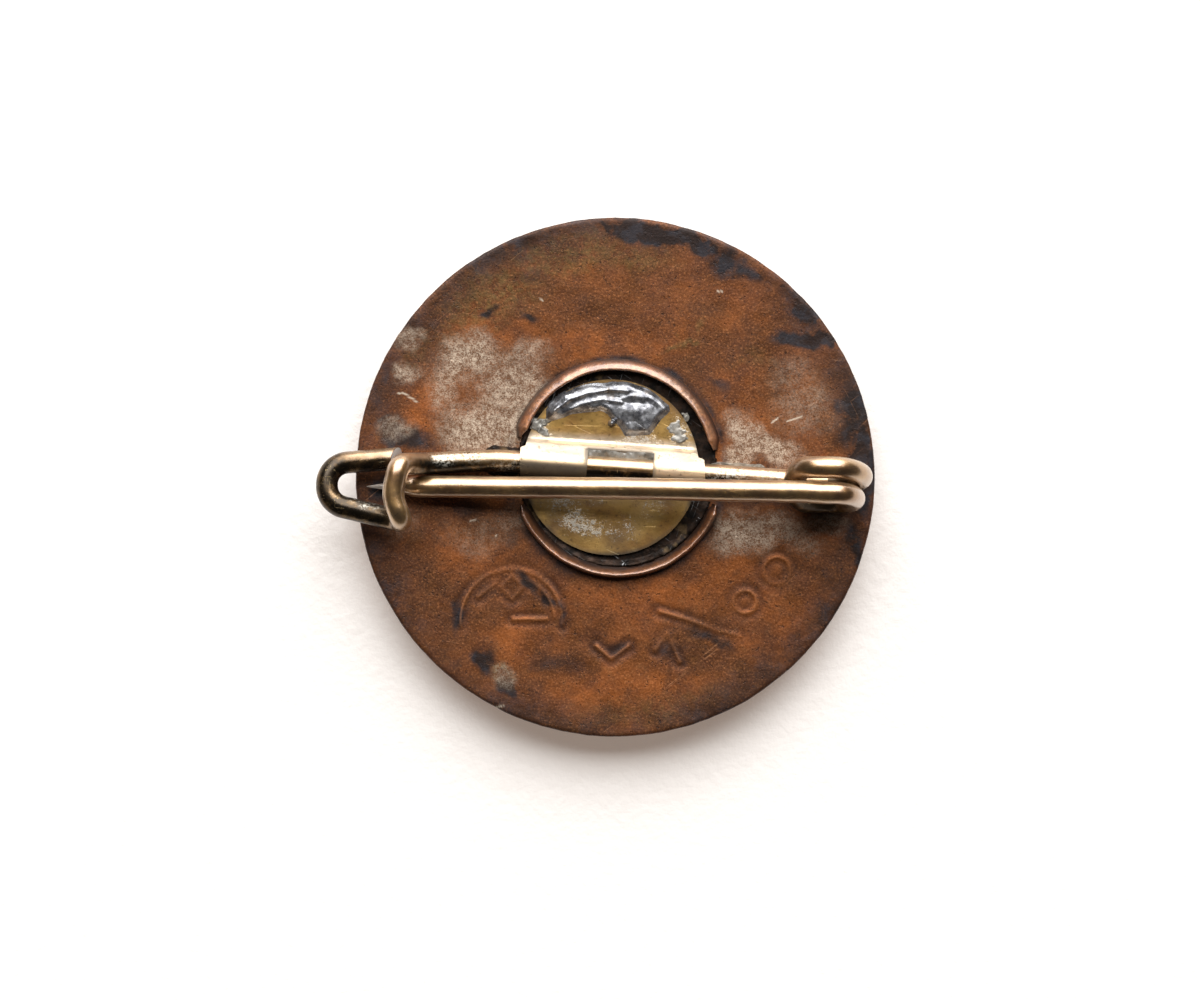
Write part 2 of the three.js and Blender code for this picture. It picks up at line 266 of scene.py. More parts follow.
class Shader:
    """A node material whose texture sizes are millimetres."""

    def __init__(self, name):
        self.material = bpy.data.materials.new(name)
        self.material.use_nodes = True
        self.tree = self.material.node_tree
        self.surface = self.tree.nodes["Principled BSDF"]
        place = self.add("ShaderNodeTexCoord")
        self.place = self.vector("SCALE", place.outputs["Object"], scale=1 / MM)

    def add(self, kind, sockets=None, **settings):
        """A node with its settings, and its sockets filled by name or number."""
        node = self.tree.nodes.new(kind)
        for key, value in settings.items():
            setattr(node, key, value)
        self.fill(node, sockets or {})
        return node

    def fill(self, node, sockets):
        for key, value in sockets.items():
            if isinstance(value, bpy.types.NodeSocket):
                self.tree.links.new(value, node.inputs[key])
            else:
                node.inputs[key].default_value = value

    def vector(self, operation, a, b=(0, 0, 0), scale=1.0):
        sockets = {0: a, 1: b}
        if operation == "SCALE":
            sockets["Scale"] = scale
        return self.add("ShaderNodeVectorMath", sockets, operation=operation).outputs["Vector"]

    def maths(self, operation, a, b):
        return self.add("ShaderNodeMath", {0: a, 1: b}, operation=operation).outputs[0]

    def noise(self, size, detail=4.0, rough=0.55, squeeze=(1, 1, 1), turn=0.0, warp=0.0):
        """Noise from 0 to 1. Squeeze below 1 draws the pattern out along that axis, after the turn."""
        spin = {"Vector": self.place, "Rotation": (0, 0, math.radians(turn))}
        turned = self.add("ShaderNodeMapping", spin, vector_type="POINT").outputs[0]
        return self.add("ShaderNodeTexNoise", {
            "Vector": self.vector("MULTIPLY", turned, squeeze), "Scale": 1 / size,
            "Detail": detail, "Roughness": rough, "Distortion": warp,
        }).outputs["Fac"]

    def between(self, value, low, high, start=0.0, end=1.0):
        """Smooth step of value from low to high, given as start to end."""
        sockets = {"Value": value, "From Min": low, "From Max": high, "To Min": start, "To Max": end}
        return self.add("ShaderNodeMapRange", sockets, interpolation_type="SMOOTHSTEP").outputs["Result"]

    def cloud(self, look, low, high, start=0.0, end=1.0):
        """Smooth step of a noise whose size, detail and roughness are in look."""
        return self.between(self.noise(*look), low, high, start, end)

    def times(self, a, b):
        return self.maths("MULTIPLY", a, b)

    def plus(self, a, b):
        return self.maths("ADD", a, b)

    def blend(self, factor, a, b):
        """Mixes two colours; 6, 7 and 2 are the colour sockets of the node."""
        return self.add("ShaderNodeMix", {0: factor, 6: a, 7: b}, data_type="RGBA").outputs[2]

    def cover(self, colour, *layers):
        """Lays (amount, colour) layers over a colour, one after another."""
        for amount, over in layers:
            colour = self.blend(amount, colour, over)
        return colour

    def mask(self, name):
        return self.add("ShaderNodeAttribute", attribute_name=name).outputs["Fac"]

    def facing_up(self):
        """How far the surface faces away from the disc, from -1 to 1."""
        normal = self.add("ShaderNodeTexCoord").outputs["Normal"]
        return self.add("ShaderNodeSeparateXYZ", {0: normal}).outputs["Z"]

    def scratches(self, turns, size=0.05, length=0.02, low=0.66, high=0.72):
        """Thin straight marks in several directions."""
        total = 0.0
        for turn in turns:
            line = self.noise(size * (1 + 0.01 * turn), 1.5, 0.4, (length, 1, 1), turn)
            total = self.maths("MAXIMUM", total, self.between(line, low, high))
        breaks = self.between(self.noise(1.1, 2.0), 0.45, 0.62)
        return self.times(total, breaks)

    def relief(self, *layers):
        """Bump from (value, depth in mm) layers."""
        below = {}
        for value, depth in layers:
            node = self.add("ShaderNodeBump", {"Height": value, "Distance": depth * MM, **below})
            below = {"Normal": node.outputs["Normal"]}
        self.fill(self.surface, below)

    def finish(self, colour, roughness, metallic, **extra):
        extra = {key.replace("_", " "): value for key, value in extra.items()}
        self.fill(self.surface, {"Base Color": colour, "Roughness": roughness, "Metallic": metallic, **extra})
        return self.material


def copper_material(name, masked):
    """Old copper: brown and orange patina, dark stains, grey tin wash, pits and scratches. The dark mask also
    holds painted shade round the collar and painted shadow by the coil, one tin patch is painted light, and
    the collar is darker at its foot with dirt and painted shade.
    """
    s = Shader(name)
    warm = s.between(s.noise(2.6, 5.0, 0.6, warp=0.4), 0.3, 0.75)
    if masked:
        warm = s.plus(s.times(warm, 0.5), s.times(s.mask("warm"), 0.9))
        warm = s.maths("MINIMUM", warm, 1.0)
    colour = s.blend(warm, tone(88, 53, 28), tone(158, 88, 37))
    colour = s.cover(
        colour,
        (s.cloud((0.9, 4.0), 0.42, 0.75, 0.0, 0.6), tone(94, 54, 36)),
        (s.cloud((0.45, 4.0, 0.65), 0.5, 0.8, 0.0, 0.5), tone(140, 92, 50)),
    )
    if masked:
        yellow = s.cloud((0.3, 3.0), 0.3, 0.7)
        colour = s.blend(s.times(s.mask("olive"), yellow), colour, tone(112, 88, 50))
    mottle = s.between(s.noise(1.7, 6.0, 0.72, warp=0.3), 0.42, 0.66, 0.0, 0.55)
    colour = s.blend(mottle, colour, tone(72, 44, 29))
    grain = s.noise(0.11, 4.0, 0.75)
    colour = s.cover(
        colour,
        (s.between(grain, 0.2, 0.52, 0.85, 0.0), tone(38, 23, 14)),
        (s.between(grain, 0.5, 0.78, 0.0, 0.6), tone(206, 136, 84)),
    )
    pits = s.cloud((0.19, 2.0, 0.6), 0.29, 0.36, 1.0, 0.0)
    colour = s.blend(s.times(pits, 0.6), colour, tone(28, 19, 15))
    roughness = s.cloud((1.3, 4.0), 0.3, 0.7, 0.38, 0.56)
    marks = s.scratches((8, 63, 141), low=0.7, high=0.8)
    if masked:
        # Stain colour for the dark mask; parts of that mask are painted shade round the collar and painted
        # shadow by the coil.
        stain = s.blend(s.cloud((0.8,), 0.45, 0.6), tone(34, 28, 27), tone(42, 43, 48))
        dark = s.times(s.mask("dark"), s.cloud((0.5, 5.0, 0.6), 0.2, 0.55, 0.55, 1.35))
        colour = s.blend(s.maths("MINIMUM", dark, 0.94), colour, stain)
        speck = s.plus(s.times(s.noise(0.07, 2.0, 0.8), 0.55), s.times(s.noise(0.3, 4.0, 0.7), 0.45))
        flecks = s.between(speck, 0.4, 0.62)
        tin = s.blend(flecks, tone(112, 82, 60), tone(206, 186, 164))
        wash = s.times(s.mask("tin"), s.cloud((0.7, 4.0, 0.65), 0.25, 0.55, 0.4, 0.95))
        colour = s.blend(wash, colour, tin)
        raised = s.maths("MAXIMUM", s.mask("line"), 0.0)
        sunk = s.maths("MAXIMUM", s.times(s.mask("line"), -1.0), 0.0)
        colour = s.cover(
            colour,
            (s.times(sunk, 0.55), tone(44, 30, 28)),
            (s.times(raised, 0.32), tone(200, 134, 88)),
            (s.times(s.mask("chalk"), 0.65), tone(228, 214, 192)),
        )
        roughness = s.plus(roughness, s.times(s.mask("tin"), 0.12))
        metallic = 0.35
    else:
        bare = s.times(s.between(s.facing_up(), 0.45, 0.8), s.cloud((0.8, 4.0), 0.3, 0.6, 0.4, 1.0))
        colour = s.blend(s.times(bare, 0.3), colour, tone(226, 168, 122))
        crust = s.cloud((0.24, 4.0, 0.75), 0.46, 0.62, 0.0, 0.75)
        colour = s.blend(crust, colour, tone(104, 64, 44))
        # Darker towards the collar's foot: dirt there and painted shade.
        dirt_and_shade = s.times(s.mask("dirt_and_shade"), s.cloud((0.4, 4.0, 0.6), 0.25, 0.55, 0.6, 1.1))
        colour = s.blend(s.maths("MINIMUM", dirt_and_shade, 0.92), colour, tone(42, 27, 19))
        metallic = s.plus(s.times(bare, 0.3), 0.4)
    colour = s.blend(s.times(marks, 0.18), colour, tone(210, 150, 104))
    s.relief(
        (s.noise(0.13, 3.0, 0.6), 0.014 if masked else 0.03),
        (s.noise(0.6, 4.0, 0.6), 0.022),
        (pits, -0.01),
        (marks, -0.005),
    )
    if masked:
        return s.finish(colour, roughness, metallic, Specular_IOR_Level=0.25)
    return s.finish(colour, roughness, metallic, Coat_Weight=0.85, Coat_IOR=1.9, Coat_Roughness=0.29)


def brass_wire_material():
    """Drawn brass wire: golden where rubbed, brown and grey-black tarnish elsewhere, with grime and painted
    shade on shaded and low parts and a pale painted sheen on the flanks.
    """
    s = Shader("brass_wire")
    tarnish = s.cloud((1.9, 4.0, 0.6), 0.4, 0.7)
    colour = s.blend(tarnish, tone(174, 134, 78), tone(140, 96, 42))
    colour = s.cover(
        colour,
        (s.cloud((0.35, 4.0, 0.65), 0.5, 0.78, 0.0, 0.55), tone(116, 80, 48)),
        (s.cloud((0.12, 2.0, 0.6), 0.62, 0.74, 0.0, 0.5), tone(64, 42, 26)),
    )
    sooty = s.times(s.mask("soot"), s.cloud((0.6, 4.0), 0.25, 0.55, 0.55, 0.95))
    colour = s.blend(sooty, colour, tone(42, 38, 33))
    # Darkening: grime, and painted shade on the wire's shaded side and low down on the coil.
    darkening = s.times(s.mask("darkening"), s.cloud((0.35, 3.0), 0.2, 0.5, 0.6, 1.0))
    colour = s.blend(darkening, colour, tone(36, 30, 23))
    covered = s.maths("MAXIMUM", sooty, darkening)
    # A pale, dull colour on the wire's flanks: a painted sheen that whitens the lit edge of the highlight.
    flank_sheen = s.between(s.facing_up(), 0.3, 0.7, 0.2, 0.0)
    flank_sheen = s.times(flank_sheen, s.between(covered, 0.0, 0.6, 1.0, 0.0))
    colour = s.blend(flank_sheen, colour, tone(222, 208, 190))
    grit = s.noise(0.12, 4.0, 0.7)
    dross = s.times(s.mask("tin"), s.between(grit, 0.4, 0.5, 1.0, 0.0))
    colour = s.blend(dross, colour, tone(40, 38, 34))
    tin = s.times(s.mask("tin"), s.between(grit, 0.46, 0.6))
    colour = s.cover(
        colour,
        (tin, tone(176, 172, 160)),
        (s.mask("cut"), tone(196, 193, 188)),
    )
    marks = s.scratches((4, 86), size=0.04, low=0.66, high=0.74)
    colour = s.blend(s.times(marks, 0.3), colour, tone(228, 198, 142))
    roughness = s.cloud((0.8, 4.0), 0.3, 0.7, 0.28, 0.42)
    roughness = s.plus(roughness, s.times(darkening, 0.12))
    roughness = s.maths("SUBTRACT", roughness, s.times(sooty, 0.06))
    dull = s.plus(s.times(s.mask("cut"), 0.6), s.times(tin, 0.4))
    dull = s.maths("MAXIMUM", dull, s.times(flank_sheen, 0.9))
    s.relief((s.noise(0.4, 4.0, 0.6), 0.014), (s.noise(0.09, 2.0, 0.5), 0.003), (marks, -0.004))
    metallic = s.maths("SUBTRACT", 0.95, dull)
    film = s.between(s.maths("MAXIMUM", covered, dross), 0.0, 0.9, 0.95, 0.08)
    return s.finish(colour, roughness, metallic, Coat_Weight=film, Coat_IOR=2.3, Coat_Roughness=0.25)


def brass_sheet_material():
    """Brass sheet of the pin plate: ochre, pale along the ridge with a tin wash and painted highlight, with
    dirt, painted shade and painted shadow, and specks of tin.
    """
    s = Shader("brass_sheet")
    colour = s.blend(s.cloud((1.4, 4.0, 0.6), 0.38, 0.66), tone(184, 146, 82), tone(146, 108, 56))
    colour = s.cover(
        colour,
        (s.cloud((0.5, 4.0, 0.7), 0.5, 0.72, 0.0, 0.5), tone(126, 92, 56)),
        # Pale wash along the ridge: tin wash and painted highlight.
        (s.times(s.mask("pale_wash_and_sheen"), 0.75), tone(224, 208, 188)),
    )
    darkening = s.cloud((0.22, 3.0, 0.7), 0.56, 0.72)
    colour = s.blend(s.times(darkening, 0.65), colour, tone(72, 54, 34))
    speck = s.plus(s.times(s.noise(0.08, 2.0, 0.8), 0.4), s.times(s.noise(0.32, 4.0, 0.7), 0.6))
    tin = s.between(s.plus(speck, s.times(s.mask("tin"), 0.22)), 0.6, 0.76, 0.0, 0.85)
    tin = s.times(tin, s.between(s.mask("tin"), 0.02, 0.4))
    haze = s.times(s.mask("tin"), s.cloud((0.6, 4.0, 0.6), 0.3, 0.6, 0.1, 0.6))
    colour = s.cover(
        colour,
        (haze, tone(158, 138, 112)),
        (tin, tone(206, 198, 184)),
        # Dirt, painted shade on the ridge's near side, and painted shadow under the pin.
        (s.times(s.mask("dirt_and_shade"), 0.97), tone(40, 32, 23)),
    )
    marks = s.scratches((2, 24, 158), low=0.68, high=0.78)
    colour = s.blend(s.times(marks, 0.25), colour, tone(232, 210, 160))
    roughness = s.cloud((0.7, 4.0), 0.3, 0.7, 0.28, 0.46)
    roughness = s.plus(roughness, s.times(s.mask("dirt_and_shade"), 0.3))
    s.relief((s.noise(0.45, 4.0, 0.6), 0.016), (s.noise(0.12, 3.0, 0.6), 0.006), (tin, 0.01), (marks, -0.005))
    metallic = s.maths("SUBTRACT", 0.7, s.times(s.mask("dirt_and_shade"), 0.65))
    return s.finish(colour, roughness, metallic)


def solder_material(name, light, dark, low, high, metallic=0.9, crinkle=0.03):
    """Soft solder with dross, pits and a dull skin."""
    s = Shader(name)
    colour = s.blend(s.cloud((0.55, 5.0, 0.65), 0.38, 0.64), light, dark)
    colour = s.blend(s.cloud((0.14, 3.0, 0.7), 0.55, 0.72, 0.0, 0.6), colour, tone(40, 38, 38))
    stain = s.cloud((0.9, 3.0), 0.58, 0.7, 0.0, 0.35)
    colour = s.blend(stain, colour, tone(128, 104, 70))
    marks = s.scratches((35, 110), size=0.06, low=0.66, high=0.74)
    colour = s.blend(s.times(marks, 0.4), colour, tone(224, 224, 226))
    roughness = s.cloud((0.4, 4.0), 0.35, 0.65, low, high)
    s.relief((s.noise(0.3, 5.0, 0.6, warp=0.5), crinkle), (s.noise(0.08, 3.0, 0.6), 0.004), (marks, -0.005))
    return s.finish(colour, roughness, metallic)


def enamel_material(name, base, deep, speck):
    """Fired vitreous enamel: clouded colour, tiny bubbles and fine surface scratches."""
    s = Shader(name)
    colour = s.blend(s.cloud((3.0, 4.0, 0.55), 0.35, 0.7), base, deep)
    colour = s.blend(s.cloud((0.16, 2.0, 0.6), 0.68, 0.76, 0.0, 0.7), colour, speck)
    marks = s.scratches((12, 77, 150), size=0.04, low=0.69, high=0.75)
    colour = s.blend(s.times(marks, 0.15), colour, tone(230, 230, 230))
    roughness = s.cloud((0.9, 4.0), 0.3, 0.7, 0.08, 0.2)
    roughness = s.plus(roughness, s.times(marks, 0.25))
    s.relief((s.noise(2.2, 3.0, 0.5), 0.05), (s.noise(0.2, 2.0, 0.5), 0.002), (marks, -0.003))
    return s.finish(colour, roughness, 0.0, Coat_Weight=0.4, Coat_Roughness=0.06)


def floor_material():
    s = Shader("glowing_paper")
    colour = s.blend(s.noise(1.2, 5.0, 0.6), tone(226, 225, 223), tone(219, 218, 216))
    s.relief((s.noise(0.5, 4.0, 0.6), 0.05))
    # The floor glows faintly warm: painted light that lifts the shadow round the badge.
    return s.finish(colour, 0.85, 0.0, Emission_Color=tone(238, 214, 196), Emission_Strength=0.3)


# ---- disc and enamel ----

STRIKE_LINES = [
    arc(-5.0, -6.9, 2.45, -4, 186, 60),
    arc(-5.0, -6.9, 2.08, 4, 70, 30),
    [(-5.5, -5.3), (-4.95, -4.75), (-4.45, -5.3), (-4.95, -5.85), (-5.5, -5.3)],
    [(-6.6, -5.75), (-5.75, -5.1)],
    [(-4.9, -6.84), (-3.3, -6.84)],
    [(-0.91, -8.12), (-0.2, -8.74), (0.66, -8.12)],
    [(1.95, -8.32), (2.53, -7.5), (3.11, -8.9)],
    [(2.15, -6.46), (3.4, -6.83), (4.73, -7.33), (6.05, -7.66)],
    arc(6.25, -6.0, 0.55, 0, 360, 24),
    arc(7.8, -4.5, 0.65, 0, 360, 24),
]
# Dark stains on the back. The three just below the coil's end, at x 9.4 to 11.0 and y -1.6 to -1.8, are
# painted shadow of the pin's end mixed with stain.
DARK_STAINS_AND_SHADOWS = [
    (1.6, 11.9, 2.9, 0.55, -6, 1.0), (3.9, 11.35, 1.5, 0.5, -20, 0.9), (5.3, 10.5, 0.9, 0.9, 0, 0.6),
    (6.3, 9.9, 1.0, 0.5, -35, 0.5), (9.1, 6.8, 1.7, 0.42, -3, 1.0), (9.2, 7.9, 0.9, 0.5, -30, 0.75),
    (11.6, 3.2, 0.8, 1.2, 15, 0.85), (12.0, 1.2, 0.6, 1.5, 0, 0.95), (11.8, -0.3, 0.9, 1.9, 0, 1.0),
    (11.0, -1.6, 1.5, 0.9, 10, 0.25), (9.4, -1.75, 1.9, 0.45, 4, 0.1), (11.3, 2.2, 0.9, 1.2, 0, 0.5),
    (-10.2, 1.9, 1.5, 0.75, -12, 0.75), (-10.9, 2.6, 0.9, 0.6, 0, 0.5), (-11.3, -0.6, 0.7, 0.9, 0, 0.6),
    (-6.9, -1.5, 1.3, 0.5, 0, 0.35), (-7.6, -6.7, 0.3, 0.9, 0, 0.6), (-4.2, -5.1, 0.6, 0.35, -30, 0.55),
    (-3.2, -5.9, 0.25, 0.8, 20, 0.6), (-2.6, -6.4, 0.25, 0.7, 10, 0.5), (-6.3, -9.0, 0.55, 0.9, 25, 0.6),
    (-5.2, -10.1, 0.35, 0.8, 20, 0.6), (-2.9, -8.9, 1.3, 0.35, 5, 0.25), (0.0, -8.3, 0.7, 0.35, 0, 0.45),
    (2.6, -8.5, 0.7, 0.5, 0, 0.4), (4.6, -7.8, 1.5, 0.35, -15, 0.45), (11.6, -3.4, 0.6, 1.9, 10, 0.6),
    (10.5, -5.5, 0.9, 1.3, 30, 0.3), (-6.0, 7.9, 0.35, 0.3, 0, 0.6), (-4.1, 7.7, 0.6, 0.25, 0, 0.55),
    (-4.3, 9.6, 0.9, 0.5, 0, 0.3), (-11.2, 5.4, 0.4, 1.4, 20, 0.4), (7.2, -0.9, 3.4, 0.6, 0, 0.3),
    (-5.0, -3.0, 0.5, 0.5, 0, 0.2), (10.6, -1.8, 1.6, 0.5, 0, 0.1), (4.9, 4.4, 0.6, 0.4, -40, 0.4),
]
TIN_WASH_AND_LIGHT = [
    (-7.2, 5.7, 1.9, 1.2, 20, 0.9), (-8.3, 4.4, 0.9, 1.7, 10, 0.7), (-5.0, 4.6, 2.0, 1.6, 30, 0.8),
    (-6.6, 2.3, 2.0, 1.4, 0, 1.0), (-5.4, 3.0, 1.2, 1.9, 20, 0.9), (-4.2, 5.9, 1.3, 0.7, 30, 0.5),
    (6.2, 2.3, 1.2, 0.9, -35, 0.9), (7.3, 1.5, 1.9, 0.8, -15, 1.0), (5.9, 1.2, 0.9, 0.7, 0, 1.0),
    (5.9, -2.6, 1.5, 1.1, 20, 0.9), (7.4, -2.6, 1.9, 0.9, 5, 0.8), (9.0, -2.9, 1.3, 0.8, 0, 0.4),
    # A pale patch beside the coil: painted light that lightens the coil's shadow on the disc.
    (10.1, -2.15, 1.3, 0.5, 0, 0.55),
    (-9.96, 6.73, 0.7, 0.4, 0, 0.55), (-10.0, 5.15, 0.65, 0.6, 30, 0.75), (-10.6, 2.4, 1.0, 0.6, 0, 0.4),
    (9.2, 3.4, 1.6, 1.5, 0, 0.28), (8.6, 5.0, 1.4, 1.0, 0, 0.2), (-4.9, -2.0, 1.0, 0.8, 0, 0.25),
    (-6.6, -2.9, 1.9, 1.0, 0, 0.22), (-5.4, -9.6, 0.5, 0.6, 0, 0.4), (-10.2, -2.2, 1.2, 0.9, 0, 0.2),
]
WARM_AREAS = [
    (-9.3, 3.1, 1.1, 1.6, -30, 0.6), (0.1, 6.4, 3.6, 0.9, 0, 0.5), (-6.2, 7.2, 2.4, 0.6, 0, 0.35),
    (1.5, -5.6, 4.6, 1.5, 0, 0.6), (-4.4, -7.6, 2.0, 1.6, 0, 0.5), (-6.9, -3.9, 2.4, 1.3, -10, 0.7),
    (5.6, -4.4, 2.6, 1.3, 20, 0.45), (6.3, 3.6, 2.0, 1.8, 0, 0.35), (7.6, -7.0, 2.0, 2.2, 30, 0.55),
    (10.3, -2.4, 0.9, 0.5, 0, 0.4), (10.2, 0.9, 1.0, 0.3, 0, 0.5), (-0.5, -10.3, 5.0, 1.3, 0, 0.45),
]
OLIVE_AREAS = [
    (-6.2, 8.6, 3.4, 1.7, 25, 0.8), (-2.6, 10.6, 3.6, 1.2, 10, 0.9), (0.9, 10.6, 2.4, 0.9, 0, 0.6),
    (2.6, 6.25, 0.75, 0.17, 28, 1.0), (3.5, 6.7, 0.75, 0.15, 12, 0.9), (4.1, 7.3, 0.25, 0.5, 0, 0.5),
    (-9.6, 6.2, 0.6, 1.2, -25, 0.6), (-5.5, -9.4, 0.4, 0.4, 0, 0.9), (6.6, 5.8, 1.6, 0.6, 0, 0.3),
    (1.6, -11.3, 4.6, 0.8, 10, 0.35), (-5.2, 1.9, 0.5, 0.9, 0, 0.8), (5.6, 1.2, 0.4, 0.8, 0, 0.7),
]
WRINKLED_PATCH = (8.7, 8.6, 0.8, 0.5, 40, 1.0)
CHALK_LINES = [
    [(-10.5, 4.03), (-10.2, 4.06), (-9.54, 3.62)],
    [(7.55, 2.63), (7.85, 2.85)],
    [(8.3, 2.7), (9.0, 2.9)],
    [(-5.76, -2.84), (-5.72, -2.78)],
    [(4.9, 8.95), (5.15, 8.95)],
    [(-3.6, 8.6), (-3.5, 8.5)],
    [(-7.0, -2.1), (-6.7, -2.05)],
    [(-5.7, -11.1), (-5.4, -11.0)],
]


def front_z(r):
    """Height of the domed front above the crown."""
    return DOME_RISE * np.maximum((np.square(r) - CROWN_R**2) / (DISC_R**2 - CROWN_R**2), 0)


def disc_profile(step=0.08):
    """(radius, height) from the middle of the back, round the rim, to the middle of the front."""
    profile = [(r, BACK_Z) for r in np.arange(step, 12.26, step)]
    profile += [
        (12.34, 2.197), (12.40, 2.185), (12.45, 2.16), (12.48, 2.12), (DISC_R, 2.06), (DISC_R, 1.9),
        (12.49, 1.7), (DISC_R, 1.5), (DISC_R, 1.3), (12.49, 1.2), (12.46, 1.13), (12.4, 1.08),
    ]
    profile += [(r, front_z(r)) for r in (12.3, 12.1, 11.9, 11.74, 11.67)]
    profile += [(r, front_z(r) + 0.02) for r in (11.63, 11.61)]
    profile += [(BORDER_OUT_R, front_z(BORDER_OUT_R) + depth) for depth in (0.08, CELL_DEPTH)]
    profile += [(BORDER_IN_R, front_z(BORDER_IN_R) + depth) for depth in (CELL_DEPTH, 0.08)]
    profile.append((8.09, front_z(8.09) + 0.02))
    profile += [(r, front_z(r)) for r in (8.05, 7.95, 7.85, 7.75, 7.65)]
    profile += [(7.61, front_z(7.61) + 0.02), (FIELD_R, 0.35)]
    profile += [(r, CELL_DEPTH) for r in (FIELD_R, 4.0, 1.0)]
    return profile


def disc_shape(segments=900):
    """The struck disc, with rubbed edges, dents and struck lines on its back and two cells in its front."""
    grid = lathe(disc_profile(), segments)
    radii, heights = np.array(disc_profile()).T
    points = grid.reshape(-1, 3)
    reach = np.repeat(radii, segments)
    on_back = np.repeat(heights > 2.0, segments)
    plan = flat(points[:, 0], points[:, 1])
    inside = fade(distance_from(plan, COLLAR_CENTRE), 5.0, 6.5)
    dents = layered(plan, (0.022, 3.4, 0), (0.012, 1.1, 4), (0.006, 0.42, 9), (0.003, 0.2, 2))
    lift, line = struck_lines(plan)
    points[:, 2] += on_back * ((1 - 0.85 * inside) * dents + lift)
    rough = layered(points, (0.02, 1.6, 7), (0.016, 0.45, 1), (0.008, 0.18, 5))
    on_rim = ramp(reach, 11.9, 12.45) * (points[:, 2] > 1.0)
    points[:, :2] *= 1 + (on_rim * rough / DISC_R)[:, None]
    points[:, 2] += on_rim * on_back * np.maximum(bumps(points, 0.6, 3.0), 0) * 0.03
    waves = np.sin(18 * (plan[:, 0] + plan[:, 1]) + 4 * bumps(plan, 0.5))
    points[:, 2] += on_back * 0.012 * (patches(plan, [WRINKLED_PATCH]) * waves)
    # A dark ring round the collar's foot, wider on its lower side away from the lamp: grime there and painted
    # shade.
    from_collar = distance_from(plan, COLLAR_CENTRE) - 5.28
    wide = mix(0.34, 0.16, ramp(plan[:, 1], -1.0, 1.5))
    darkening = 0.85 * bell(from_collar, wide) * (0.6 + 0.5 * bumps(plan, 0.7, 2.0))
    rim_dark = 0.55 * ramp(reach, 10.2, 12.5) * (0.8 + 0.5 * bumps(plan, 2.2, 9.0))
    dark = np.maximum(1.4 * patches(plan, DARK_STAINS_AND_SHADOWS, 0.85), np.maximum(darkening, rim_dark))
    masks = {
        "line": line,
        "dark": dark * on_back,
        "tin": patches(plan, TIN_WASH_AND_LIGHT) * on_back,
        "warm": patches(plan, WARM_AREAS) * on_back,
        "olive": patches(plan, OLIVE_AREAS) * on_back,
        "chalk": chalk(plan) * on_back,
    }
    shape = rings_to_solid(grid)
    return shape, {key: np.append(values, [0, 0]) for key, values in masks.items()}


def struck_lines(plan):
    """Lift of the struck lines in mm, and how much of a line each point is."""
    distance = np.full(len(plan), 1e9)
    for stroke in STRIKE_LINES:
        distance = np.minimum(distance, stroke_distance(plan, stroke))
    strength = np.clip(0.7 + 0.7 * bumps(plan, 1.3, 6.0), 0.3, 1.0)
    line = strength * bell(distance, 0.075)
    hollow = strength * bell(distance - 0.24, 0.18)
    return 0.042 * line - 0.036 * hollow, np.clip(line - 0.9 * hollow, -1, 1)


def chalk(plan):
    total = np.zeros(len(plan))
    for stroke in CHALK_LINES:
        total = np.maximum(total, fade(stroke_distance(plan, stroke), 0.01, 0.055))
    return total


def lathe(profile, segments=288):
    """Rings of points, one for each (radius, height) of the profile."""
    profile = np.array(profile, float)
    angles = np.linspace(0, 2 * math.pi, segments, endpoint=False)
    grid = np.empty((len(profile), segments, 3))
    grid[..., 0] = profile[:, :1] * np.cos(angles)
    grid[..., 1] = profile[:, :1] * np.sin(angles)
    grid[..., 2] = profile[:, 1:]
    return grid


def enamel_field_shape():
    radii = np.concatenate([np.linspace(0.1, 7.3, 60), [7.42, 7.5, 7.55, 7.58]])
    front = front_z(radii) + 0.03 * ramp(radii, 7.35, 7.58)
    back = [(7.58, 0.36), (7.55, 0.385), (5.0, 0.39), (0.1, 0.39)]
    grid = lathe([*zip(radii, front), *back])
    points = grid.reshape(-1, 3)
    points[:, 2] += (points[:, 2] < 0.35) * 0.008 * np.maximum(bumps(points, 2.4), 0)
    return rings_to_solid(grid)


def enamel_border_shape():
    radii = np.concatenate([[8.12, 8.15, 8.2, 8.28], np.linspace(8.4, 11.3, 30), [11.42, 11.5, 11.55, 11.58]])
    sag = 0.03 * (ramp(-radii, -8.35, -8.12) + ramp(radii, 11.35, 11.58))
    front = front_z(radii) + sag
    loop = [*zip(radii, front), (11.58, front_z(11.58) + 0.37), (8.12, front_z(8.12) + 0.37)]
    grid = lathe(loop, 360)
    points = grid.reshape(-1, 3)
    rows = len(loop)
    faces = grid_faces(rows, 360)
    end = (rows - 1) * 360
    faces += [(end + j, end + (j + 1) % 360, (j + 1) % 360, j) for j in range(360)]
    return points, faces


# ---- collar ----


LIP_SLOPED = [
    (0.33, -0.04), (0.30, 0.04), (0.27, 0.11), (0.24, 0.19), (0.20, 0.28), (0.14, 0.37),
    (0.08, 0.46), (0.0, 0.53), (-0.08, 0.58), (-0.15, 0.61), (-0.20, 0.62), (-0.24, 0.605),
    (-0.262, 0.56), (-0.27, 0.48), (-0.27, 0.34), (-0.27, 0.2), (-0.272, 0.08), (-0.275, -0.04),
]
LIP_FLARED = [
    (0.34, -0.04), (0.33, 0.06), (0.31, 0.16), (0.29, 0.28), (0.27, 0.40), (0.25, 0.50), (0.22, 0.57),
    (0.18, 0.605), (0.14, 0.61), (0.10, 0.585), (0.04, 0.51), (-0.02, 0.42), (-0.08, 0.33), (-0.14, 0.24),
    (-0.19, 0.17), (-0.24, 0.1), (-0.27, 0.03), (-0.275, -0.04),
]


